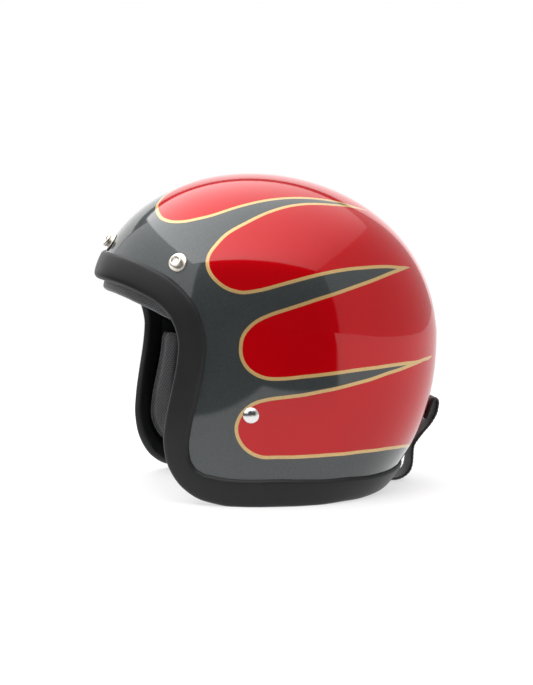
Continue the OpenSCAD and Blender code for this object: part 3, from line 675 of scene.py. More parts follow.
def strap_leather(made):
    """Black strap leather: fine pebbles, creases and a rubbed edge."""
    along, across, _ = made.parts(made.uv_place())
    where = made.object_place()
    pebble = made.cells(where, 1050.0, feature="SMOOTH_F1")
    crease = made.noise(where, 120.0, 5.0, 0.6)
    rubbed = 1 - abs(across).below(form().goggle_width / 2 - 1.1, 0.7)
    base = made.mix(crease * 0.6 + pebble * 0.4, (0.022, 0.022, 0.022), (0.009, 0.009, 0.009))
    base = made.mix(rubbed * 0.5, base, (0.045, 0.043, 0.041))
    made.done(Base_Color=base, Roughness=0.44 + crease * 0.22 + rubbed * 0.1,
              Normal=made.bump(pebble * 0.6 + crease * 0.4, 0.14, 0.7))


def metal(made, tint, rough, scratch, bump):
    """A plated metal with fine scratches and a clouded polish."""
    where = made.object_place()
    cloud = made.noise(where, 260.0, 4.0)
    lines = made.noise(made.add("Mapping", {"vector_type": "TEXTURE"},
                                {"Vector": where, "Scale": (1.0, 14.0, 1.0)}), 2600.0, 3.0)
    base = made.mix(cloud, [c * 0.86 for c in tint], tint)
    made.done(Base_Color=base, Metallic=1.0,
              Roughness=rough + cloud * scratch + lines * scratch,
              Normal=made.bump(lines, bump, 0.35))


def nickel(made):
    """Polished nickel."""
    metal(made, (0.84, 0.80, 0.72), 0.26, 0.10, 0.004)


def bright_chrome(made):
    """Bright chrome."""
    metal(made, (0.88, 0.88, 0.87), 0.17, 0.08, 0.003)


def plated_steel(made):
    """Zinc plated steel."""
    metal(made, (0.60, 0.60, 0.58), 0.24, 0.12, 0.01)


def black_nylon(made):
    """Moulded black nylon with a spark-eroded grain."""
    grained(made, made.noise(made.object_place(), 2200.0, 2.0),
            ((0.016, 0.016, 0.017), (0.028, 0.028, 0.030)), (0.4, 0.22), 0.04, 0.6)


def black_snap(made):
    """Black lacquered brass, a little worn."""
    where = made.object_place()
    wear = made.noise(where, 420.0, 5.0, 0.7)
    worn = 1 - wear.below(0.66, 0.03)
    base = made.mix(worn, (0.018, 0.018, 0.018), (0.30, 0.21, 0.10))
    made.done(Base_Color=base, Metallic=0.25 + worn * 0.7, Roughness=0.3 + wear * 0.25,
              Normal=made.bump(wear, 0.01, 0.4))


def thread(made):
    """Twisted black thread."""
    tone = bpy.context.scene.helmet_soft.thread
    grained(made, made.noise(made.object_place(), 4200.0, 2.0),
            ([c * 0.6 for c in tone], [c * 1.7 for c in tone]), (0.55, 0.2), 0.05, 0.6)


FINISHES = {f.__name__: f for f in (
    shell_paint, trim_rubber, impact_foam, comfort_mesh, comfort_cloth, piping, webbing,
    strap_leather, nickel, bright_chrome, plated_steel, black_nylon, black_snap, thread)}


# ---- Stage ----

class HELMET_OT_stage(bpy.types.Operator):
    """Lay the pale floor, hang the soft light and set the camera"""
    bl_idname = "helmet.stage"
    bl_label = "Stage"

    def execute(self, context):
        studio = context.scene.helmet_studio
        half = studio.floor_size / MM
        corners = [(-half, -half, 0), (half, -half, 0), (half, half, 0), (-half, half, 0)]
        floor = mesh_object("floor", corners, [], [(0, 1, 2, 3)])
        floor.data.materials.append(floor_paper())
        soft_sky(context.scene)
        place_camera(context.scene, studio)
        context.scene.view_settings.view_transform = "Standard"
        return {"FINISHED"}


# How far out the paper fades into the backdrop, in metres, how softly, and how much of
# the paper itself the camera sees in the middle.
FADE_AT, FADE_BLUR, PAPER_SHARE = 0.7, 0.35, 0.42
# The bright patch that the paint mirrors: its brightness, the cosine and sine of its
# turn, how far it reaches to the front and to the side, the slope past which it runs
# on, and how soft the edge in front and the others are.
PATCH_LIGHT, PATCH_COS, PATCH_SIN = 1.1, 0.94, 0.34
PATCH_FRONT, PATCH_SIDE, PATCH_SLOPE = 0.38, 0.62, 0.58
FRONT_BLUR, PATCH_BLUR = 0.025, 0.03


def floor_paper():
    """White paper that fades into the backdrop away from the helmet."""
    made = Finish(bpy.data.materials.new("floor_paper"))
    x, y, _ = made.parts(made.object_place())
    far = (x * x + y * y).math("SQRT")
    fibre = made.noise(made.object_place(), 300.0, 3.0)
    made.done(Base_Color=made.mix(fibre, (0.82, 0.82, 0.825), (0.85, 0.85, 0.852)),
              Roughness=0.75)
    camera = made.add("LightPath", out="Is Camera Ray")
    mirror = made.add("LightPath", out="Is Glossy Ray")
    # The camera sees the paper over-lit, as a photographer lights it.
    white = made.add("Emission", None, {"Color": (1, 1, 1, 1), "Strength": 1.0})
    over_lit = 1 - far.below(FADE_AT, FADE_BLUR) * PAPER_SHARE
    lit = made.add("MixShader", None, {0: over_lit * camera,
                                       1: Shade(made, made.shader.outputs[0]), 2: white})
    # The paint mirrors a bright patch of floor, with black flags beyond it.
    patch = made.add("Emission", None, {"Color": (1, 1, 1, 1), "Strength": PATCH_LIGHT})
    flag = made.add("Emission", None, {"Color": (0, 0, 0, 1), "Strength": 0.0})
    ahead = (x * PATCH_SIN - y * PATCH_COS).below(PATCH_FRONT, FRONT_BLUR)
    aside = (x * PATCH_COS + y * PATCH_SIN).below(PATCH_SIDE, PATCH_BLUR)
    aside = aside.most(1 - (y - x * PATCH_SLOPE).below(0.0, PATCH_BLUR))
    below = made.add("MixShader", None, {0: ahead * aside, 1: flag, 2: patch})
    shown = made.add("MixShader", None, {0: mirror, 1: lit, 2: below})
    made.tree.links.new(shown.socket, made.tree.nodes["Material Output"].inputs[0])
    return made.owner


# The box overhead, in a plane one unit above the helmet: the cosine and sine that it
# hangs turned by, its half width and half length, and how its light falls off.
BOX_COS, BOX_SIN, BOX_SIDE, BOX_END = 0.978, 0.208, 1.0, 0.95
BOX_LIGHT, BOX_SLOPE, BOX_FLOOR = 2.4, 1.5, 34.0
BOX_BLUR = 0.03  # softness of its edges in that plane
BOX_LEAST = 0.05  # least height of a direction that is followed up to that plane
EDGE_BLUR = 1.2  # softness of the other edges, in degrees
# The dim room between the boxes, and the fill: a share of the boxes and a plain level.
ROOM_LIGHT, FILL_SHARE, FILL_LIGHT = 0.02, 0.1, 0.28
# Soft boxes that stand round the set: their brightness, then their lowest and highest
# bearing and their lowest and highest height, in degrees.
FRONT_BOX = (1.3, -55, 40, 11, 60)
SIDE_BOX = (0.55, 124, 234, -16, 72)
BACK_BOX = (1.5, 235, 304, -20, 28)


def soft_sky(scene):
    """A white world of soft boxes, plain white to the camera."""
    world = scene.world or bpy.data.worlds.new("World")
    scene.world = world
    made = Finish(world)
    made.tree.nodes.clear()
    x, y, z = made.parts(made.add("TexCoord", out="Generated"))
    height = z.math("ARCSINE") * (180 / math.pi)
    bearing = (x * -1).math("ARCTAN2", y) * (180 / math.pi) + 180
    across = (x * BOX_COS - y * BOX_SIN) / z.most(BOX_LEAST)
    ahead = (x * -BOX_SIN - y * BOX_COS) / z.most(BOX_LEAST)
    light = (across.below(BOX_SIDE, BOX_BLUR) * abs(ahead).below(BOX_END, BOX_BLUR)
             * (1 - height.below(BOX_FLOOR, EDGE_BLUR)) * (ahead * BOX_SLOPE + BOX_LIGHT))
    for strength, b0, b1, h0, h1 in (FRONT_BOX, SIDE_BOX, BACK_BOX):
        middle, reach = (b0 + b1) / 2, (b1 - b0) / 2
        off = abs((bearing - (middle - 180)).math("FLOORED_MODULO", 360.0) - 180)
        up = abs(height - (h0 + h1) / 2)
        light = light.most(off.below(reach, EDGE_BLUR) * up.below((h1 - h0) / 2, EDGE_BLUR)
                           * strength)
    mirror = made.add("LightPath", out="Is Glossy Ray")
    # Fill light that the paint doesn't mirror.
    light = light.most(ROOM_LIGHT) + (1 - mirror) * (light * FILL_SHARE + FILL_LIGHT)
    seen = made.add("LightPath", out="Is Camera Ray")
    strength = light * (1 - seen) + seen
    background = made.add("Background", None, {"Color": (1, 1, 1, 1), "Strength": strength})
    output = made.tree.nodes.new("ShaderNodeOutputWorld")
    made.tree.links.new(background.socket, output.inputs[0])


CAMERA_AIM = Vector((0, -0.0152, 0.125))
CAMERA_SHIFT = (0.0236, -0.0157)  # frames the helmet as the photograph does


def place_camera(scene, studio):
    """Stands the camera where the photograph was taken from."""
    data = bpy.data.cameras.new("camera")
    data.lens = studio.lens
    data.sensor_width = 36
    data.shift_x, data.shift_y = CAMERA_SHIFT
    camera = bpy.data.objects.new("camera", data)
    scene.collection.objects.link(camera)
    az, el = math.radians(studio.azimuth), math.radians(studio.elevation)
    toward = Vector((math.sin(az) * math.cos(el), -math.cos(az) * math.cos(el), math.sin(el)))
    camera.location = CAMERA_AIM + toward * studio.distance
    camera.rotation_euler = toward.to_track_quat("Z", "Y").to_euler()
    scene.camera = camera


# ---- Painted shell ----

# Outlines of the red scallops on the wearer's left, as bearing and drop, each from
# the back along its upper line, round its nose and back along its lower line.
SCALLOPS = {
    1: [(195, 53), (180, 48.5), (165, 43.5), (148.7, 38.1), (135.6, 33.9), (122.7, 31.5),
        (107.5, 30.4), (89.4, 31.6), (74, 35.2), (61.3, 40), (52.2, 42.6), (46.5, 43.7),
        (40.5, 43.8), (34.4, 42.7), (29.3, 40.8), (23.3, 38.2), (17.4, 35.3), (13.5, 32.6),
        (9.5, 29.8), (6.5, 26.6), (3.5, 22.5), (0, 17.5), (-14, 12), (-60, 9), (-110, 14),
        (-135, 24), (-150, 40)],
    2: [(195, 45), (180, 43), (165, 40.6), (148.7, 38.1), (131.7, 35.6), (122, 34.7),
        (111, 34.3), (99.5, 35.4), (87.4, 38.7), (77.3, 43.6), (69, 48.9), (64.8, 54),
        (62.8, 57.6), (62.4, 60.9), (63.3, 64), (65.4, 67), (68.6, 69.7), (72.2, 71.2),
        (76.1, 71.5), (82.9, 70.1), (92.5, 67.4), (103, 65), (114.5, 63.6), (124.2, 63.4),
        (135.9, 64), (143.3, 64.7), (155, 66), (180, 69.5), (195, 71)],
    3: [(195, 58), (180, 59.5), (155, 63), (143.3, 64.7), (129.9, 66.5), (118.4, 69),
        (106.4, 72.1), (96.1, 75), (88.9, 77.3), (82, 79.7), (78.6, 81.4), (75.6, 83.9),
        (73.3, 87.2), (72.5, 91), (73.1, 95), (75.3, 98.4), (78.9, 100.7), (83.3, 101.5),
        (90, 101.1), (99.1, 100.3), (108.8, 99.4), (119.9, 98.8), (132.1, 98.5),
        (143.4, 98.4), (160, 98.3), (180, 98.3), (195, 98.3)],
    4: [(195, 93), (180, 94), (155, 96.8), (143.4, 98.4), (132.2, 99.9), (123.1, 101.3),
        (114.4, 103.2), (104.1, 105.2), (94.7, 106.8), (88, 107.7), (81.3, 108.6),
        (78, 109.5), (75.4, 111), (72.7, 114), (71.3, 118), (71.9, 122), (74.3, 125.6),
        (78.1, 128), (82.9, 128.8), (92.3, 128.8), (102.6, 128.6), (113.9, 128.5),
        (127.6, 128.6), (143, 129.3), (159.2, 130.5), (180, 131.3), (195, 130.9)],
}


def inside(points, outline):
    """Which points of q lie inside a closed outline of q."""
    x, y = points[:, :1], points[:, 1:]
    a, b = outline, np.roll(outline, -1, 0)
    spans = (a[:, 1] > y) != (b[:, 1] > y)
    rise = np.where(a[:, 1] == b[:, 1], 1e-12, b[:, 1] - a[:, 1])
    hit = a[:, 0] + (y - a[:, 1]) / rise * (b[:, 0] - a[:, 0]) > x
    return (spans & hit).sum(1) % 2 == 1


BATCH = 4096  # points measured at once
NEAR_EDGE = 6  # millimetres within which the distance is taken square off the edge


def scallop_distance(q, outline):
    """Millimetres from the skin at q to a scallop's edge, negative inside it."""
    line = curve(polar(outline), 14, closed=True)
    at = skin(line)
    along = unit(np.roll(at, -1, 0) - np.roll(at, 1, 0))
    spots = skin(q)
    far, within = [], []
    for start in range(0, len(q), BATCH):
        part = spots[start:start + BATCH]
        gap = ((part[:, None] - at[None]) ** 2).sum(-1)
        nearest = gap.argmin(1)
        off = part - at[nearest]
        slid = (off * along[nearest]).sum(-1)
        square = np.sqrt(np.maximum((off ** 2).sum(-1) - slid ** 2, 0))
        far.append(np.where(gap.min(1) > NEAR_EDGE ** 2, np.sqrt(gap.min(1)), square))
        within.append(inside(q[start:start + BATCH], line))
    far = np.concatenate(far)
    return np.where(np.concatenate(within), -far, far)


class HELMET_OT_shell(bpy.types.Operator):
    """Mould the shell and lay out its scallops"""
    bl_idname = "helmet.shell"
    bl_label = "Painted shell"

    def execute(self, context):
        stations, rings, inner_rings, lead, far_off = 416, 100, 12, 14, 40.0
        loop = rim_loop(stations)
        q, faces = cup(CROWN_POLE, fan(loop, CROWN_POLE, rings, lead))
        inner_q, inner_faces = cup(CROWN_POLE, fan(loop, CROWN_POLE, inner_rings, lead))
        count = len(q)
        points = np.vstack([under(q, 0), under(inner_q, form().shell_wall)])
        faces += [tuple(count + k for k in reversed(f)) for f in inner_faces]
        faces += strip(count - stations, len(points) - stations, stations)
        shell = outward_facing(piece("shell_skin", points, faces, finish("shell_paint")))
        folded = np.stack([np.abs(q[:, 0]), q[:, 1]], 1)
        for k, outline in SCALLOPS.items():
            layer = shell.data.attributes.new(f"scallop_{k}", "FLOAT", "POINT")
            values = np.full(len(points), far_off)
            values[:count] = scallop_distance(folded, outline)
            layer.data.foreach_set("value", values.astype(np.float32))
        belongs(shell, "root", "shell_paint", "shell")
        return {"FINISHED"}


# ---- Rubber trim ----

TRIM_LINING = 2.3  # thickness of the channel's inner wall


class HELMET_OT_trim(bpy.types.Operator):
    """Run the rubber channel round the shell's edge"""
    bl_idname = "helmet.trim"
    bl_label = "Edge trim"

    def execute(self, context):
        f = form()
        stations = 420
        nose, room, tuck = 3.4, 0.15, 12
        deep = -f.shell_wall - TRIM_LINING
        half_in = -f.shell_wall - 0.4 * TRIM_LINING
        outer = [(f.trim_cover, room), (f.trim_cover + 0.25, 0.5),
                 (f.trim_cover - 0.35, 1.25), (f.trim_cover - 1.5, f.trim_thick * 0.78),
                 (f.trim_cover - 4, f.trim_thick * 0.93), (f.trim_cover * 0.4, f.trim_thick),
                 (0.5, f.trim_thick * 0.9), (-nose * 0.7, f.trim_thick * 0.35),
                 (-nose, -f.shell_wall * 0.45), (-nose * 0.7, deep * 0.55 - f.shell_wall * 0.45),
                 (0.8, deep), (tuck - 1.5, deep), (tuck, half_in),
                 (tuck, -f.shell_wall - room)]
        section = np.vstack([curve(outer, 4), [(-room, -f.shell_wall - room), (-room, room)]])
        loop = rim_loop(stations)
        step = stride(loop, way_out(loop))
        rows = np.stack([under(loop - step * back, -out) for back, out in section], 1)
        rows[..., 2] = np.maximum(rows[..., 2], 0)
        trim = piece("trim_channel", rows.reshape(-1, 3), swept(rows), finish("trim_rubber"))
        belongs(outward_facing(trim), "root", "trim_rubber", "edge_trim")
        return {"FINISHED"}


# ---- Foam liner ----

LINER_HALF = [(0, 1.085), (20, 1.075), (38, 1.03), (50, 0.955), (58, 0.83), (64, 0.69),
              (75, 0.585), (92, 0.555), (112, 0.5), (135, 0.4), (158, 0.31), (180, 0.29)]
LINER_THICK = 24
LINER_THINS = 0.35  # share of its thickness that the liner loses at its edge
LINER_GAP, PAD_GAP, LINING_GAP = 1.4, 2.2, 0.9


def liner_depth():
    """How deep the liner's outer face lies under the skin."""
    return form().shell_wall + LINER_GAP


def q_of(pairs):
    """q of pairs of bearing and share of the way up the rim."""
    pairs = np.asarray(pairs, float)
    return place(pairs[:, 0], rim_z(pairs[:, 1]))


def q_of_mirrored(half):
    """A closed line of q from such pairs along its left half."""
    return mirrored(q_of(half))


SIDE_ROWS = 3
SIDE_SWELL = 0.22


def two_sheets(loop, pole, rings, lead, outer, inner):
    """Points, faces, q, ring share and depth share of a closed form between two depths."""
    n = len(loop)
    q, faces = cup(pole, fan(loop, pole, rings, lead))
    count = len(q)
    share = np.concatenate([[0], np.repeat(np.arange(1, rings + 1) / rings, n)])
    a, b = outer(q, share), inner(q, share)
    top, low = under(q, a), under(q, b)
    rows = [top]
    out = way_out(loop)
    for k in range(1, SIDE_ROWS + 1):
        t = k / (SIDE_ROWS + 1)
        swell = SIDE_SWELL * (b[-n:] - a[-n:]) * math.sin(math.pi * t)
        rows.append(top[-n:] * (1 - t) + low[-n:] * t + out * swell[:, None])
    base = count + SIDE_ROWS * n
    faces += [tuple(base + k for k in reversed(f)) for f in faces]
    edges = [count + k * n for k in range(-1, SIDE_ROWS)] + [base + count - n]
    for start, stop in zip(edges, edges[1:]):
        faces += strip(start, stop, n)
    side = (np.arange(SIDE_ROWS * n) // n + 1) / (SIDE_ROWS + 1)
    return (np.vstack(rows + [low]), faces, np.vstack([q, np.tile(loop, (SIDE_ROWS, 1)), q]),
            np.concatenate([share, np.ones(len(side)), share]),
            np.concatenate([np.zeros(count), side, np.ones(count)]))


class HELMET_OT_liner(bpy.types.Operator):
    """Mould the bead foam liner"""
    bl_idname = "helmet.liner"
    bl_label = "Impact liner"

    def execute(self, context):
        loop = even_on_skin(curve(q_of_mirrored(LINER_HALF), 8, closed=True), 160)
        deep = liner_depth()
        points, faces, *_ = two_sheets(
            loop, CROWN_POLE, 26, 10, lambda q, t: np.full(len(q), deep),
            lambda q, t: deep + LINER_THICK * (1 - LINER_THINS * t ** 6))
        liner = outward_facing(piece("foam_liner", points, faces, finish("impact_foam")))
        belongs(liner, "root", "impact_foam", "impact_liner")
        return {"FINISHED"}


# ---- Sewn pads ----

CROWN_HALF = [(0, 1.2), (30, 1.17), (55, 1.06), (80, 0.92), (105, 0.84), (130, 0.78),
              (155, 0.72), (180, 0.7)]
CHEEK_LOOP = [(58.5, 0.67), (55.5, 0.665), (54.3, 0.58), (52.4, 0.48), (50.3, 0.36),
              (49.2, 0.24), (52.5, 0.13), (62, 0.09), (76, 0.085), (92, 0.11), (104, 0.2),
              (108, 0.33), (103, 0.43), (90, 0.48), (77, 0.52), (67, 0.585)]
BROW_HIGH = [(0, 1.06), (16, 1.055), (32, 1.02), (43, 0.965), (51, 0.88)]
BROW_LOW = [(0, 0.93), (15, 0.925), (29, 0.895), (40, 0.85), (49, 0.78)]
NECK_HIGH = [(180, 0.25), (164, 0.255), (148, 0.29), (132, 0.345), (120, 0.385)]
NECK_LOW = [(180, 0.125), (163, 0.13), (146, 0.155), (130, 0.195), (118, 0.25)]
STRAP_CHANNEL = 8.6
CHEEK_LEAN = [6, -7]
RIVET_BEARING, RIVET_HEIGHT = 76, 72
CROWN_PAD_THICK, BAND_THICK, CHEEK_THICK = 8, 12, 24
FACE_SINKS, BAND_FILL = 0.16, 0.88  # how low the covers start before they are filled
SWELL_FRAMES = 20
COVER = {"quality": 5, "mass": 0.3, "tension_stiffness": 8, "compression_stiffness": 8,
         "shear_stiffness": 4, "bending_stiffness": 0.6, "vertex_group_mass": "held",
         "use_pressure": True}
# Where the seams run: shares of the way out or across, and distances from the middle.
CHEEK_SEAM, BAND_SEAMS = 0.7, (0.12, 0.88)
CROWN_SEAMS, CROWN_ROWS = (-30, 30), (-3.2, 3.2)
CROWN_FACE = 205.0  # height near which the crown pad's face is looked for
# How deep and how wide a seam draws its cover in.
CHEEK_GROOVE, CROWN_GROOVE, BAND_GROOVE = (2.2, 3.0), (2.0, 3.0), (1.3, 2.4)
# How far piping and stitches lie off a cover, and the stitches from the piping.
PIPING_LIFT, STITCH_LIFT, CROWN_LIFT, PIPING_ROW = 0.5, 0.15, 0.12, 3.4


def bearing_of(q):
    """Bearing of q in degrees, negative on the wearer's right."""
    return np.degrees(np.arctan2(q[..., 0], -q[..., 1]))


def cheek_back(q):
    """Depth of a cheek pad's back, which clears the strap and the rubber's lining."""
    bearing = np.abs(bearing_of(q))
    channel = STRAP_CHANNEL * ease((1.35 - np.abs(bearing - RIVET_BEARING) / 22) / 0.35)
    over_trim = (TRIM_LINING + 0.4) * ease((60 - bearing) / 5)
    return form().shell_wall + LINING_GAP + np.maximum(channel, over_trim)


def neck_back(q):
    """Depth of the neck pad's back, which clears the goggle strap's end."""
    f = form()
    off = 180 - np.abs(bearing_of(q))
    return f.shell_wall + LINING_GAP + (f.goggle_thick + PAD_GAP) * ease((17 - off) / 8)


def pillow(t):
    """Fullness of a domed pad at a share of the way out to its edge."""
    return np.sqrt(np.clip(1 - t ** 4, 0, 1))


def domed_pad(name, loop_q, stations, rings, lead, lean, back, thick, rim, cover):
    """A crowned pad; its cover's face is a little low, so that the foam can fill it."""
    loop = even_on_skin(curve(loop_q, 8, closed=True), stations)
    pole = loop.mean(0) + lean
    points, faces, q, share, front = two_sheets(
        loop, pole, rings, lead,
        lambda q, t: back(q) + (rim + (thick - rim) * pillow(t)) * (1 - FACE_SINKS * (1 - t ** 6)),
        lambda q, t: back(q) + 0 * t)
    pad = outward_facing(piece(name, points, faces, finish(cover)))
    note(pad, q, share, front)
    return pad


def flip_side(pad, side):
    """Turns a pad of the left side into the right one, where side is -1."""
    if side < 0:
        pad.data.transform(Matrix.Diagonal((-1, 1, 1, 1)))
        pad.data.flip_normals()
    return pad


def note(pad, q, share, front):
    """Keeps each point's q, ring share and depth share on the mesh."""
    for key, values in (("place_a", q[:, 0]), ("place_b", q[:, 1]), ("share", share),
                        ("front", front)):
        layer = pad.data.attributes.new(key, "FLOAT", "POINT")
        layer.data.foreach_set("value", np.asarray(values, np.float32))


def noted(pad, key):
    """What note() kept on a pad's points."""
    return read(pad.data.attributes[key].data, "value")


BAND_SECTION = [(0.1, 0), (0.3, 0), (0.5, 0), (0.7, 0), (0.9, 0), (1, 0.35), (0.93, 0.75),
                (0.75, 0.95), (0.5, 1), (0.25, 0.95), (0.07, 0.75), (0, 0.35)]


def band_pad(name, low_q, high_q, back, thick, cover):
    """A padded band between two lines of q."""
    low, high = (even_on_skin(curve(line, 8), 72, closed=False) for line in (low_q, high_q))
    section = curve(BAND_SECTION, 3, closed=True)
    n = len(low)
    full = np.maximum(0.3, np.sqrt(1 - np.abs(np.linspace(-1, 1, n)) ** 6))
    wide = 0.5 + (section[None, :, :1] - 0.5) * full[:, None, None]
    q = low[:, None] + (high - low)[:, None] * wide
    deep = back(q) + thick * BAND_FILL * np.clip(section[None, :, 1], 0, 1) * full[:, None]
    rows = under(q, deep)
    pad = outward_facing(piece(name, rows.reshape(-1, 3), swept(rows, closed=False),
                               finish(cover)))
    share = np.broadcast_to(section[None, :, 0], q.shape[:2]).ravel()
    front = 1 - np.broadcast_to(np.clip(section[None, :, 1] * 2, 0, 1), q.shape[:2]).ravel()
    note(pad, q.reshape(-1, 2), share, front)
    return pad


def swell_pads(pads):
    """Fills the covers of all pads at once with Cloth under pressure."""
    scene = bpy.context.scene
    soft = scene.helmet_soft
    rest = {}
    for pad in pads:
        pad.data.update()
        rest[pad.name] = read(pad.data.vertices, "co", 3)
        held = pad.vertex_groups.new(name="held")
        for index, value in enumerate(noted(pad, "front")):
            held.add([index], float(min(1, value * 2.5)), "REPLACE")
        cloth = pad.modifiers.new("Cloth", "CLOTH")
        settings = cloth.settings
        for key, value in COVER.items():
            setattr(settings, key, value)
        settings.uniform_pressure_force = soft.pressure
        settings.effector_weights.gravity = 0
        cloth.collision_settings.use_collision = False
        cloth.point_cache.frame_start, cloth.point_cache.frame_end = 1, SWELL_FRAMES
    for step in range(1, SWELL_FRAMES + 1):
        scene.frame_set(step)
    for pad in pads:
        plain_mesh(pad)
        move = read(pad.data.vertices, "co", 3) - rest[pad.name]
        far = np.linalg.norm(move, axis=1, keepdims=True)
        move *= np.minimum(1, soft.swell / np.maximum(far, 1e-9))
        pad.data.vertices.foreach_set("co", (rest[pad.name] + move).ravel())
        pad.vertex_groups.clear()
    scene.frame_set(1)


def refine(pad, levels):
    """Subdivides a pad's cover."""
    smooth = pad.modifiers.new("Smooth", "SUBSURF")
    smooth.levels = smooth.render_levels = levels
    return plain_mesh(pad)


def lay_on(obj, points, lift):
    """Moves points to the nearest place on a piece, and lifts them off it."""
    bm = bmesh.new()
    bm.from_mesh(obj.data)
    tree = BVHTree.FromBMesh(bm)
    out = []
    for p in points:
        at, normal, _, _ = tree.find_nearest(Vector(p) * MM)
        out.append(np.array(at + normal * lift * MM) / MM)
    bm.free()
    return np.array(out)


def press_seam(obj, line, depth, width):
    """Draws a cover in along a seam."""
    tree = KDTree(len(line))
    for index, p in enumerate(line):
        tree.insert(Vector(p), index)
    tree.balance()
    co = vertices(obj)
    normals = read(obj.data.vertices, "normal", 3)
    far = np.array([tree.find(Vector(p))[2] for p in co])
    pull = depth * np.exp(-(far / width) ** 2)
    co = (co - normals * pull[:, None]) * MM
    obj.data.vertices.foreach_set("co", co.astype(np.float32).ravel())
    obj.data.update()


def cover_split(obj, material, chosen):
    """Gives a second cover to the faces whose points are chosen."""
    obj.data.materials.append(material)
    for face in obj.data.polygons:
        if all(chosen[k] for k in face.vertices):
            face.material_index = 1


def grown(name, tree, lines, **inputs):
    """A mesh that a node tree grows along lines of points in millimetres."""
    points, edges = [], []
    for line, closed in lines:
        start = len(points)
        points += list(line)
        edges += [(start + k, start + k + 1) for k in range(len(line) - 1)]
        if closed:
            edges.append((len(points) - 1, start))
    obj = mesh_object(name, points, edges, [])
    grow = obj.modifiers.new("Grow", "NODES")
    grow.node_group = tree
    for item in tree.interface.items_tree:
        if item.item_type == "SOCKET" and item.in_out == "INPUT" and item.name in inputs:
            grow[item.identifier] = inputs[item.name]
    return plain_mesh(obj)


class Tree:
    """A Geometry Nodes tree in the making, with named inputs."""

    def __init__(self, name, **inputs):
        self.tree = bpy.data.node_groups.new(name, "GeometryNodeTree")
        face = self.tree.interface
        face.new_socket("Lines", in_out="INPUT", socket_type="NodeSocketGeometry")
        face.new_socket("Geometry", in_out="OUTPUT", socket_type="NodeSocketGeometry")
        for key, kind in inputs.items():
            face.new_socket(key, in_out="INPUT", socket_type="NodeSocket" + kind)
        self.given = self.tree.nodes.new("NodeGroupInput")

    def add(self, kind, settings=None, sockets=None):
        """Adds a node; a socket that is given a word takes the input of that name."""
        node = self.tree.nodes.new(kind)
        for key, value in (settings or {}).items():
            setattr(node, key, value)
        for key, value in (sockets or {}).items():
            if isinstance(value, str):
                value = self.given.outputs[value]
            if isinstance(value, bpy.types.NodeSocket):
                self.tree.links.new(value, node.inputs[key])
            else:
                node.inputs[key].default_value = value
        return node.outputs[0]

    def close(self, made):
        """Ends the tree with real, smooth geometry of one material."""
        made = self.add("GeometryNodeRealizeInstances", None, {"Geometry": made})
        made = self.add("GeometryNodeSetShadeSmooth", None, {"Geometry": made})
        made = self.add("GeometryNodeSetMaterial", None, {"Geometry": made,
                                                          "Material": "Material"})
        output = self.tree.nodes.new("NodeGroupOutput")
        self.tree.links.new(made, output.inputs[0])
        return self.tree


def stitch_tree():
    """Stitches at an even pitch along lines, each a small slug of thread."""
    t = Tree("Stitches", Pitch="Float", Length="Float", Thickness="Float",
             Material="Material")
    line = t.add("GeometryNodeMeshToCurve", None, {"Mesh": "Lines"})
    line = t.add("GeometryNodeResampleCurve", {"mode": "LENGTH"},
                 {"Curve": line, "Length": "Pitch"})
    slug = t.add("GeometryNodeMeshUVSphere", None,
                 {"Segments": 6, "Rings": 4, "Radius": 0.5})
    turn = t.add("FunctionNodeAlignRotationToVector", {"axis": "Z"},
                 {"Vector": t.add("GeometryNodeInputTangent")})
    size = t.add("ShaderNodeCombineXYZ", None,
                 {"X": "Thickness", "Y": "Thickness", "Z": "Length"})
    return t.close(t.add("GeometryNodeInstanceOnPoints", None, {
        "Points": line, "Instance": slug, "Rotation": turn, "Scale": size}))


def cord_tree():
    """A round cord along lines."""
    t = Tree("Round cord", Step="Float", Radius="Float", Material="Material")
    line = t.add("GeometryNodeMeshToCurve", None, {"Mesh": "Lines"})
    line = t.add("GeometryNodeResampleCurve", {"mode": "LENGTH"},
                 {"Curve": line, "Length": "Step"})
    ring = t.add("GeometryNodeCurvePrimitiveCircle", {"mode": "RADIUS"},
                 {"Resolution": 10, "Radius": "Radius"})
    return t.close(t.add("GeometryNodeCurveToMesh", None, {
        "Curve": line, "Profile Curve": ring, "Fill Caps": True}))


def stitches(name, lines, body, slot):
    """Rows of stitches that ride on a body."""
    soft = bpy.context.scene.helmet_soft
    tree = bpy.data.node_groups.get("Stitches") or stitch_tree()
    made = grown(name, tree, lines, Pitch=soft.stitch_pitch, Length=soft.stitch_pitch * 0.78,
                 Thickness=soft.stitch_thick, Material=finish("thread"))
    return belongs(made, body, slot)


def piped(name, lines, body, slot):
    """Piping that rides on a body."""
    tree = bpy.data.node_groups.get("Round cord") or cord_tree()
    made = grown(name, tree, lines, Step=2 * MM, Material=finish("piping"),
                 Radius=bpy.context.scene.helmet_soft.piping_radius)
    return belongs(made, body, slot)


def binned(spots, turn, low, high, count):
    """A line through scattered points: their mean in each step of their turn."""
    bins = np.linspace(low, high, count)
    chosen = [(turn >= a) & (turn < b) for a, b in zip(bins, bins[1:])]
    return np.array([spots[near].mean(0) for near in chosen if near.any()])


def ring_seam(at, share, front, level):
    """A closed line round a domed pad's face at one share of the way out."""
    spots = at[(np.abs(share - level) < 0.028) & (front < 0.05)]
    middle = spots.mean(0)
    turn = np.arctan2(spots[:, 2] - middle[2], spots[:, 1] - middle[1])
    return curve(binned(spots, turn, -math.pi, math.pi, 73), 4, closed=True)


def inset(line, by):
    """A closed line drawn in towards its middle."""
    off = line - line.mean(0)
    return line - off / np.linalg.norm(off, axis=1, keepdims=True) * by


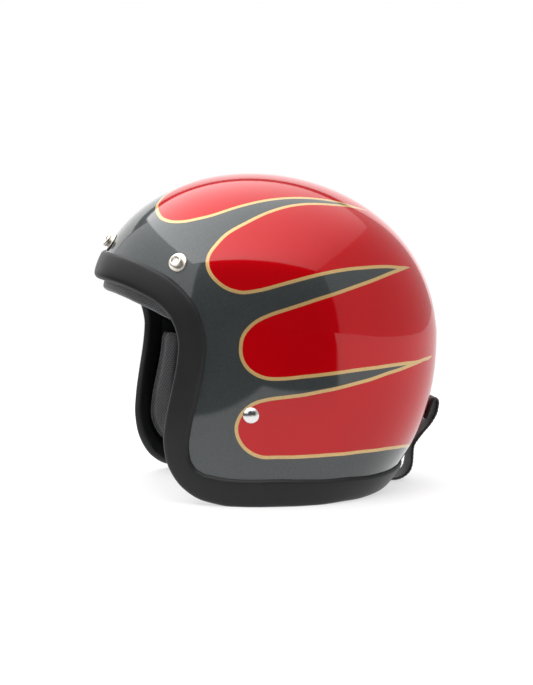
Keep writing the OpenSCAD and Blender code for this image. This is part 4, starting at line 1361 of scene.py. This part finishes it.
def band_seam(at, share, front, level, ahead):
    """A line along a band's face at one share of its width."""
    spots = at[(np.abs(share - level) < 0.08) & (front < 0.6)]
    turn = np.degrees(np.arctan2(spots[:, 0], -spots[:, 1] if ahead else spots[:, 1]))
    return curve(binned(spots, turn, turn.min() + 3, turn.max() - 3, 40), 4)


def both_sides(half):
    """A line of q across the middle of the face, from its left half."""
    half = q_of(half)
    return np.vstack([half[:0:-1] * [-1, 1], half])


def round_back(half):
    """A line of q across the middle of the nape, from its left half."""
    half = q_of(half)
    return np.vstack([half[::-1], half[1:] * [-1, 1]])


class HELMET_OT_pads(bpy.types.Operator):
    """Sew, fill and seam the comfort pads"""
    bl_idname = "helmet.pads"
    bl_label = "Comfort pads"

    def execute(self, context):
        f = form()
        crown_back = liner_depth() + LINER_THICK + PAD_GAP
        brow_back = f.shell_wall + TRIM_LINING + 1.2
        pads = {
            "crown": domed_pad("crown_cushion", q_of_mirrored(CROWN_HALF), 96, 16, 10, [0, 0],
                               lambda q: np.full(q.shape[:-1], crown_back), CROWN_PAD_THICK,
                               3, "comfort_cloth"),
            "brow": band_pad("brow_cushion", both_sides(BROW_LOW), both_sides(BROW_HIGH),
                             lambda q: np.full(q.shape[:-1], brow_back), BAND_THICK,
                             "comfort_mesh"),
            "neck": band_pad("neck_cushion", round_back(NECK_LOW), round_back(NECK_HIGH),
                             neck_back, BAND_THICK, "comfort_mesh"),
        }
        for word, side in SIDES.items():
            pads["cheek_" + word] = flip_side(domed_pad(
                f"cheek_cushion_{word}", q_of(CHEEK_LOOP), 84, 14, 6, CHEEK_LEAN, cheek_back,
                CHEEK_THICK, 7, "comfort_mesh"), side)
        swell_pads(list(pads.values()))
        nodes = {"crown": "crown_pad", "brow": "brow_pad", "neck": "neck_pad",
                 "cheek_left": "cheek_pad_left", "cheek_right": "cheek_pad_right"}
        for key, pad in pads.items():
            refine(pad, 1)
            self.seams(key, pad)
            belongs(pad, "root", "comfort_fabric", nodes[key])
        return {"FINISHED"}

    def seams(self, key, pad):
        """Seam grooves, piping, stitching and cover cloths of one pad."""
        share, front = noted(pad, "share"), noted(pad, "front")
        at = vertices(pad)
        lines = []
        if key.startswith("cheek"):
            set_uv(pad, at[:, 1:])
            cover_split(pad, finish("comfort_cloth"), (share < CHEEK_SEAM) & (front < 0.1))
            line = ring_seam(at, share, front, CHEEK_SEAM)
            press_seam(pad, line, *CHEEK_GROOVE)
            piped(pad.name + "_piping", [(lay_on(pad, line, PIPING_LIFT), True)], "root",
                  "comfort_fabric")
            lines.append((lay_on(pad, inset(line, PIPING_ROW), STITCH_LIFT), True))
        elif key == "crown":
            set_uv(pad, at[:, :2])
            for x in CROWN_SEAMS:
                y = np.linspace(at[:, 1].min() + 12, at[:, 1].max() - 12, 60)
                line = lay_on(pad, [(x, k, CROWN_FACE) for k in y], 0)
                press_seam(pad, line, *CROWN_GROOVE)
                for off in CROWN_ROWS:
                    lines.append((lay_on(pad, line + [off, 0, 0], CROWN_LIFT), False))
        else:
            bearing = np.radians(bearing_of(np.stack([noted(pad, "place_a"),
                                                      noted(pad, "place_b")], 1)))
            set_uv(pad, np.stack([bearing * 112, at[:, 2] + at[:, 1] * 0.35], 1))
            for level in BAND_SEAMS:
                line = band_seam(at, share, front, level, key == "brow")
                press_seam(pad, line, *BAND_GROOVE)
                lines.append((lay_on(pad, line, STITCH_LIFT), False))
        stitches(pad.name + "_stitches", lines, "root", "comfort_fabric")


# ---- Chin strap ----

SPACER_THICK, HANGER_T = 4, 1.5
# How far the straps lie in across the floor, the folded tail, and their height there.
LONG_REACH, TAIL_LENGTH, RING_REACH, LIE_HEIGHT = 92, 44, 68, 4.8
RING_WIRE_R, TURN_R, TURN_ROOM, FOLD_R = 1.8, 7, 4, 3.6
SLOT_DROP, BAR_HEIGHT = 15, 4  # of the hanger's slot below the rivet, and of its bar


class StrapPlane:
    """The plane that a chin strap hangs in: out over the shell, and up."""

    def __init__(self, side):
        self.axis = outward(place(RIVET_BEARING, RIVET_HEIGHT))
        level = unit(self.axis[:2])
        self.out = np.array([side * level[0], level[1], 0])
        self.across = np.array([-self.out[1], self.out[0], 0])
        self.foot = skin(place(side * RIVET_BEARING, RIVET_HEIGHT)) * [1, 1, 0]
        self.tilt = np.array([self.axis[:2] @ level, self.axis[2]])
        self.level = level
        self.rivet = skin(place(RIVET_BEARING, RIVET_HEIGHT))

    def hung(self, fall, depth):
        """A place in the plane below the rivet and at a depth under its seat."""
        return (np.array([0, RIVET_HEIGHT]) - depth * self.tilt
                - fall * np.array([-self.tilt[1], self.tilt[0]]))

    def beside(self, z, depth):
        """A place in the plane at a height and at a depth under the skin."""
        p = under(place(RIVET_BEARING, z), depth) - self.rivet
        return np.array([p[:2] @ self.level, p[2] + RIVET_HEIGHT])

    def spot(self, path, across=0.0):
        """Points in space from places in the plane and an offset across it."""
        return (self.foot + path[:, :1] * self.out + np.array([0, 0, 1]) * path[:, 1:]
                + np.asarray(across, float).reshape(-1, 1) * self.across)


def arc(center, r, start, stop, steps):
    """Places along an arc between two angles in degrees."""
    a = np.radians(np.linspace(start, stop, steps + 1))
    return [np.asarray(center) + r * np.array([np.cos(k), np.sin(k)]) for k in a]


def softened(path, step, reach):
    """A path at even steps with its corners rounded over a reach, its ends kept."""
    path = np.asarray(path, float)
    whole = np.linalg.norm(np.diff(path, axis=0), axis=1).sum()
    fine = even(path, int(whole / step) + 2)
    k = max(1, int(reach / step))
    padded = np.vstack([2 * fine[0] - fine[k:0:-1], fine, 2 * fine[-1] - fine[-2:-k - 2:-1]])
    weights = np.hanning(2 * k + 3)[1:-1]
    weights /= weights.sum()
    return np.stack([np.convolve(padded[:, c], weights, "valid")
                     for c in range(fine.shape[1])], -1)


# Shares of a strap's thickness: radius of its edges, and how far stitches lie off its middle.
EDGE_ROUND, WEB_STITCH, LEATHER_STITCH = 0.42, 0.55, 0.36
WEB_INSET, LEATHER_INSET = 3, 2.6  # from a strap's side to its stitches


def square_to(path):
    """Directions in a plane that lead square off a path."""
    along = unit(np.gradient(path, axis=0))
    return np.stack([-along[:, 1], along[:, 0]], 1)


def ribbon(name, path, width, thick, spot, material):
    """A flat strap along a path in a plane, with rounded edges and a UV in millimetres."""
    square = square_to(path)
    r = thick * EDGE_ROUND
    corner = [(math.cos(a), math.sin(a)) for a in np.radians([0, 30, 60, 90])]
    side = [(width / 2 - r + r * x, thick / 2 - r + r * y) for x, y in corner]
    flat = [(width / 2 * k, thick / 2) for k in (0.7, 0.4, 0.1, -0.2, -0.5, -0.75)]
    half = side + flat
    section = np.array(half + [(-x, -y) for x, y in half])
    rows = np.stack([spot(path + square * y, np.full(len(path), x)) for x, y in section], 1)
    uv = np.stack(np.broadcast_arrays(ways(path)[:, None], section[None, :, 0]), -1)
    uv = uv.reshape(-1, 2)
    strap = piece(name, rows.reshape(-1, 3), swept(rows, closed=False), material, uv)
    return outward_facing(strap)


def box_stitch(start, stop, half, path, lift, spot):
    """Lines of a sewn box with its cross, between two ways along a path."""
    base = (path + square_to(path) * lift)[start:stop]
    n = len(base)
    ends = np.linspace(-half, half, 9)
    t = np.linspace(-half, half, n)
    return [(spot(base, np.full(n, -half)), False), (spot(base, np.full(n, half)), False),
            (spot(np.repeat(base[:1], 9, 0), ends), False),
            (spot(np.repeat(base[-1:], 9, 0), ends), False),
            (spot(base, t), False), (spot(base, -t), False)]


class HELMET_OT_chin_straps(bpy.types.Operator):
    """Weave the chin straps and stitch their ends"""
    bl_idname = "helmet.chin_straps"
    bl_label = "Chin straps"

    def execute(self, context):
        f = form()
        wide, thick = f.web_width, f.web_thick
        room, sewn_to = 0.4, 0.02  # gaps round the hanger's bar and between sewn layers
        bar_fall = SLOT_DROP + BAR_HEIGHT / 2
        bar_depth = f.shell_wall + SPACER_THICK + 0.45 + HANGER_T / 2
        sewn = bar_fall + 21
        loop = HANGER_T / 2 + room + thick / 2
        top = bar_fall - BAR_HEIGHT / 2 - room - thick / 2
        low = bar_fall + BAR_HEIGHT / 2 + 2
        flat = thick / 2 + sewn_to
        for word, side in SIDES.items():
            plane = StrapPlane(side)
            hang = plane.beside(LIE_HEIGHT + TURN_R + 3,
                                f.shell_wall + TRIM_LINING + TURN_ROOM + thick / 2)
            path = [plane.hung(fall, bar_depth + depth) for fall, depth in (
                (sewn, -flat), (low + 3, -flat), (low, -loop), (top + 0.8, -loop),
                (top, 0.9 - loop), (top, loop - 0.9), (top + 0.8, loop), (low, loop),
                (low + 3, flat), (sewn, flat))]
            path += [hang] + arc((hang[0] - TURN_R, LIE_HEIGHT + TURN_R), TURN_R, 0, -90, 6)
            path += self.folded_tail() if side > 0 else self.ring_eye(thick)
            path = softened(path, 0.8, 1.4)
            strap = ribbon(f"chin_webbing_{word}", path, wide, thick, plane.spot,
                           finish("webbing"))
            belongs(strap, f"{word}_strap", "webbing", f"chin_strap_{word}")
            end, back = ways(path)[-1], 2 * (sewn - top)
            boxes = [(3, 17, 1), (back - 8, back + 6, 1)]
            if side < 0:
                boxes += [(end - 20, end - 3, -1), (end - 20, end - 3, 1)]
            lines = []
            for start, stop, face in boxes:
                lines += box_stitch(*ways(path).searchsorted([start, stop]), wide / 2 - WEB_INSET,
                                    path, face * thick * WEB_STITCH, plane.spot)
            stitches(f"chin_stitches_{word}", lines, f"{word}_strap", "webbing")
        return {"FINISHED"}

    def folded_tail(self):
        """The left strap's way out to its fold and back."""
        over = LIE_HEIGHT + 2 * FOLD_R
        return ([(-LONG_REACH, LIE_HEIGHT)]
                + arc((-LONG_REACH, LIE_HEIGHT + FOLD_R), FOLD_R, -110, -250, 7)
                + [(-LONG_REACH, over), (TAIL_LENGTH - LONG_REACH, over)])

    def ring_eye(self, thick):
        """The right strap's way round both rings and back on to itself."""
        step = 2 * RING_WIRE_R + 0.45
        r = RING_WIRE_R + 0.35 + thick / 2
        a = np.array([-RING_REACH, LIE_HEIGHT])
        b = a + step
        return ([a + (9, 0)] + arc(a, r, -60, -225, 8) + arc(b, r, 135, 20, 6)
                + [b + (r + 2.4, -step + thick + 1.2), b + (r + 5, -step + thick),
                   a + (34, thick)])


# ---- Goggle strap ----

# The snap's height, how far the flap stands off in its loop, its gap at the snap.
SNAP_HEIGHT, LOOP_STAND, GOGGLE_GAP = 60, 12, 3.6
# The loop as height over the snap and share of that stand.
LOOP_RISE = [(-27, 0.47), (-18, 0.59), (-13, 0.73), (-8, 0.87), (-1, 0.975), (4, 0.93),
             (7.6, 0.86), (9.5, 0.71)]


def off_back(z, off):
    """A place off the skin at the middle of the back, as y and z."""
    return under(place(180, z), -off)[1:]


def goggle_paths():
    """Middle lines of the strap's riveted end and of its flap."""
    f = form()
    nape = off_back(f.edge_height + f.nape_lift, 0)
    wall = -f.shell_wall - f.goggle_thick / 2 - 1.1
    lining = wall - TRIM_LINING - 0.1
    pass_z = f.goggle_thick / 2 + 0.4
    bend = nape + (22.7, 18)
    base = [off_back(34, wall), off_back(26, wall), off_back(19.5, lining + 0.5),
            off_back(13, lining), off_back(8, lining - 0.2), nape + (-8.8, 1),
            nape + (-9, -1.6), (nape[0] - 7, pass_z + 1), (nape[0] - 3, pass_z),
            (nape[0] + 3, pass_z), (nape[0] + 10, pass_z + 0.3), nape + (16, -2.4),
            nape + (20.3, 2), nape + (22, 8), bend - (0.3, 4), bend + (0, 0.2)]
    end_off = GOGGLE_GAP + f.goggle_thick / 2 + 0.15
    flap = [bend - (0, 0.6)]
    flap += [off_back(SNAP_HEIGHT + up, share * LOOP_STAND) for up, share in LOOP_RISE]
    flap += [off_back(SNAP_HEIGHT + up, end_off + off)
             for up, off in ((9, 1.3), (6.6, 0.2), (4.5, 0), (0, 0), (-7, 0))]
    return curve(base, 8), curve(flap, 8)


class HELMET_OT_goggle_strap(bpy.types.Operator):
    """Cut, bend and stitch the leather goggle strap"""
    bl_idname = "helmet.goggle_strap"
    bl_label = "Goggle strap"

    def execute(self, context):
        f = form()

        def spot(path, across):
            return np.column_stack([np.broadcast_to(across, len(path)), path])

        rows = (("leather_base", "root", "goggle_strap_base"),
                ("leather_flap", "goggle_flap", "goggle_strap"))
        for (name, body, node), path in zip(rows, goggle_paths()):
            path = softened(path, 0.8, 0.8)
            strap = ribbon(name, path, f.goggle_width, f.goggle_thick, spot,
                           finish("strap_leather"))
            belongs(strap, body, "strap_leather", node)
            inside_ends = slice(4, -4)
            lines = []
            for face in (-1, 1):
                row = path + square_to(path) * face * f.goggle_thick * LEATHER_STITCH
                for half in (-1, 1):
                    across = half * (f.goggle_width / 2 - LEATHER_INSET)
                    lines.append((spot(row[inside_ends], across), False))
            stitches(name + "_stitches", lines, body, "strap_leather")
        return {"FINISHED"}


# ---- Hardware ----

HARDWARE = (
    # nodes, body, finish, rounding of the edges in millimetres
    ("visor_stud_center visor_stud_left visor_stud_right", "root", "nickel", 0.18),
    ("visor_stud_backings goggle_stud_backing goggle_base_rivets rivet_washer_left"
     " rivet_washer_right", "root", "plated_steel", 0.1),
    ("chin_rivet_left chin_rivet_right", "root", "bright_chrome", 0.12),
    ("rivet_spacer_left rivet_spacer_right", "root", "black_nylon", 0.2),
    ("goggle_stud", "root", "nickel", 0.12),
    ("strap_hanger_left", "left_strap", "plated_steel", 0.3),
    ("strap_hanger_right", "right_strap", "plated_steel", 0.3),
    ("strap_keeper", "left_strap", "black_nylon", 0.5),
    ("tail_snap_stud tail_snap_socket tail_snap_cap", "left_strap", "black_snap", 0.15),
    ("goggle_snap_socket goggle_snap_cap", "goggle_flap", "black_snap", 0.15),
    ("d_ring_lower", "lower_ring", "bright_chrome", 0),
    ("d_ring_upper", "upper_ring", "bright_chrome", 0),
)


class HELMET_OT_hardware(bpy.types.Operator):
    """Finish the studs, rivets, rings and snaps"""
    bl_idname = "helmet.hardware"
    bl_label = "Hardware"

    def execute(self, context):
        for nodes, body, name, bevel in HARDWARE:
            for node in nodes.split():
                belongs(smooth_copy(node, finish(name), bevel), body, name, node)
        return {"FINISHED"}


OPERATORS = (HELMET_OT_stage, HELMET_OT_shell, HELMET_OT_trim, HELMET_OT_liner,
             HELMET_OT_pads, HELMET_OT_chin_straps, HELMET_OT_goggle_strap,
             HELMET_OT_hardware)
GROUPS = {"helmet_form": HelmetForm, "helmet_paint": HelmetPaint, "helmet_soft": HelmetSoft,
          "helmet_studio": HelmetStudio}


class HELMET_PT_parts(bpy.types.Panel):
    """Lists the steps that build the helmet"""
    bl_idname = "HELMET_PT_parts"
    bl_label = "Open Face Helmet"
    bl_space_type = "VIEW_3D"
    bl_region_type = "UI"
    bl_category = "Helmet"

    def draw(self, context):
        for operator in OPERATORS:
            self.layout.operator(operator.bl_idname)
        for key, group in GROUPS.items():
            box = self.layout.box()
            for name in group.__annotations__:
                box.prop(getattr(context.scene, key), name)


def register():
    for group in GROUPS.values():
        bpy.utils.register_class(group)
    for key, group in GROUPS.items():
        setattr(bpy.types.Scene, key, PointerProperty(type=group))
    for operator in OPERATORS:
        bpy.utils.register_class(operator)
    bpy.utils.register_class(HELMET_PT_parts)


def unregister():
    bpy.utils.unregister_class(HELMET_PT_parts)
    for operator in reversed(OPERATORS):
        bpy.utils.unregister_class(operator)
    for key in GROUPS:
        delattr(bpy.types.Scene, key)
    for group in reversed(GROUPS.values()):
        bpy.utils.unregister_class(group)


def main():
    register()
    for operator in OPERATORS:
        area, _, step = operator.bl_idname.partition(".")
        getattr(getattr(bpy.ops, area), step)()


if __name__ == "__main__":
    main()
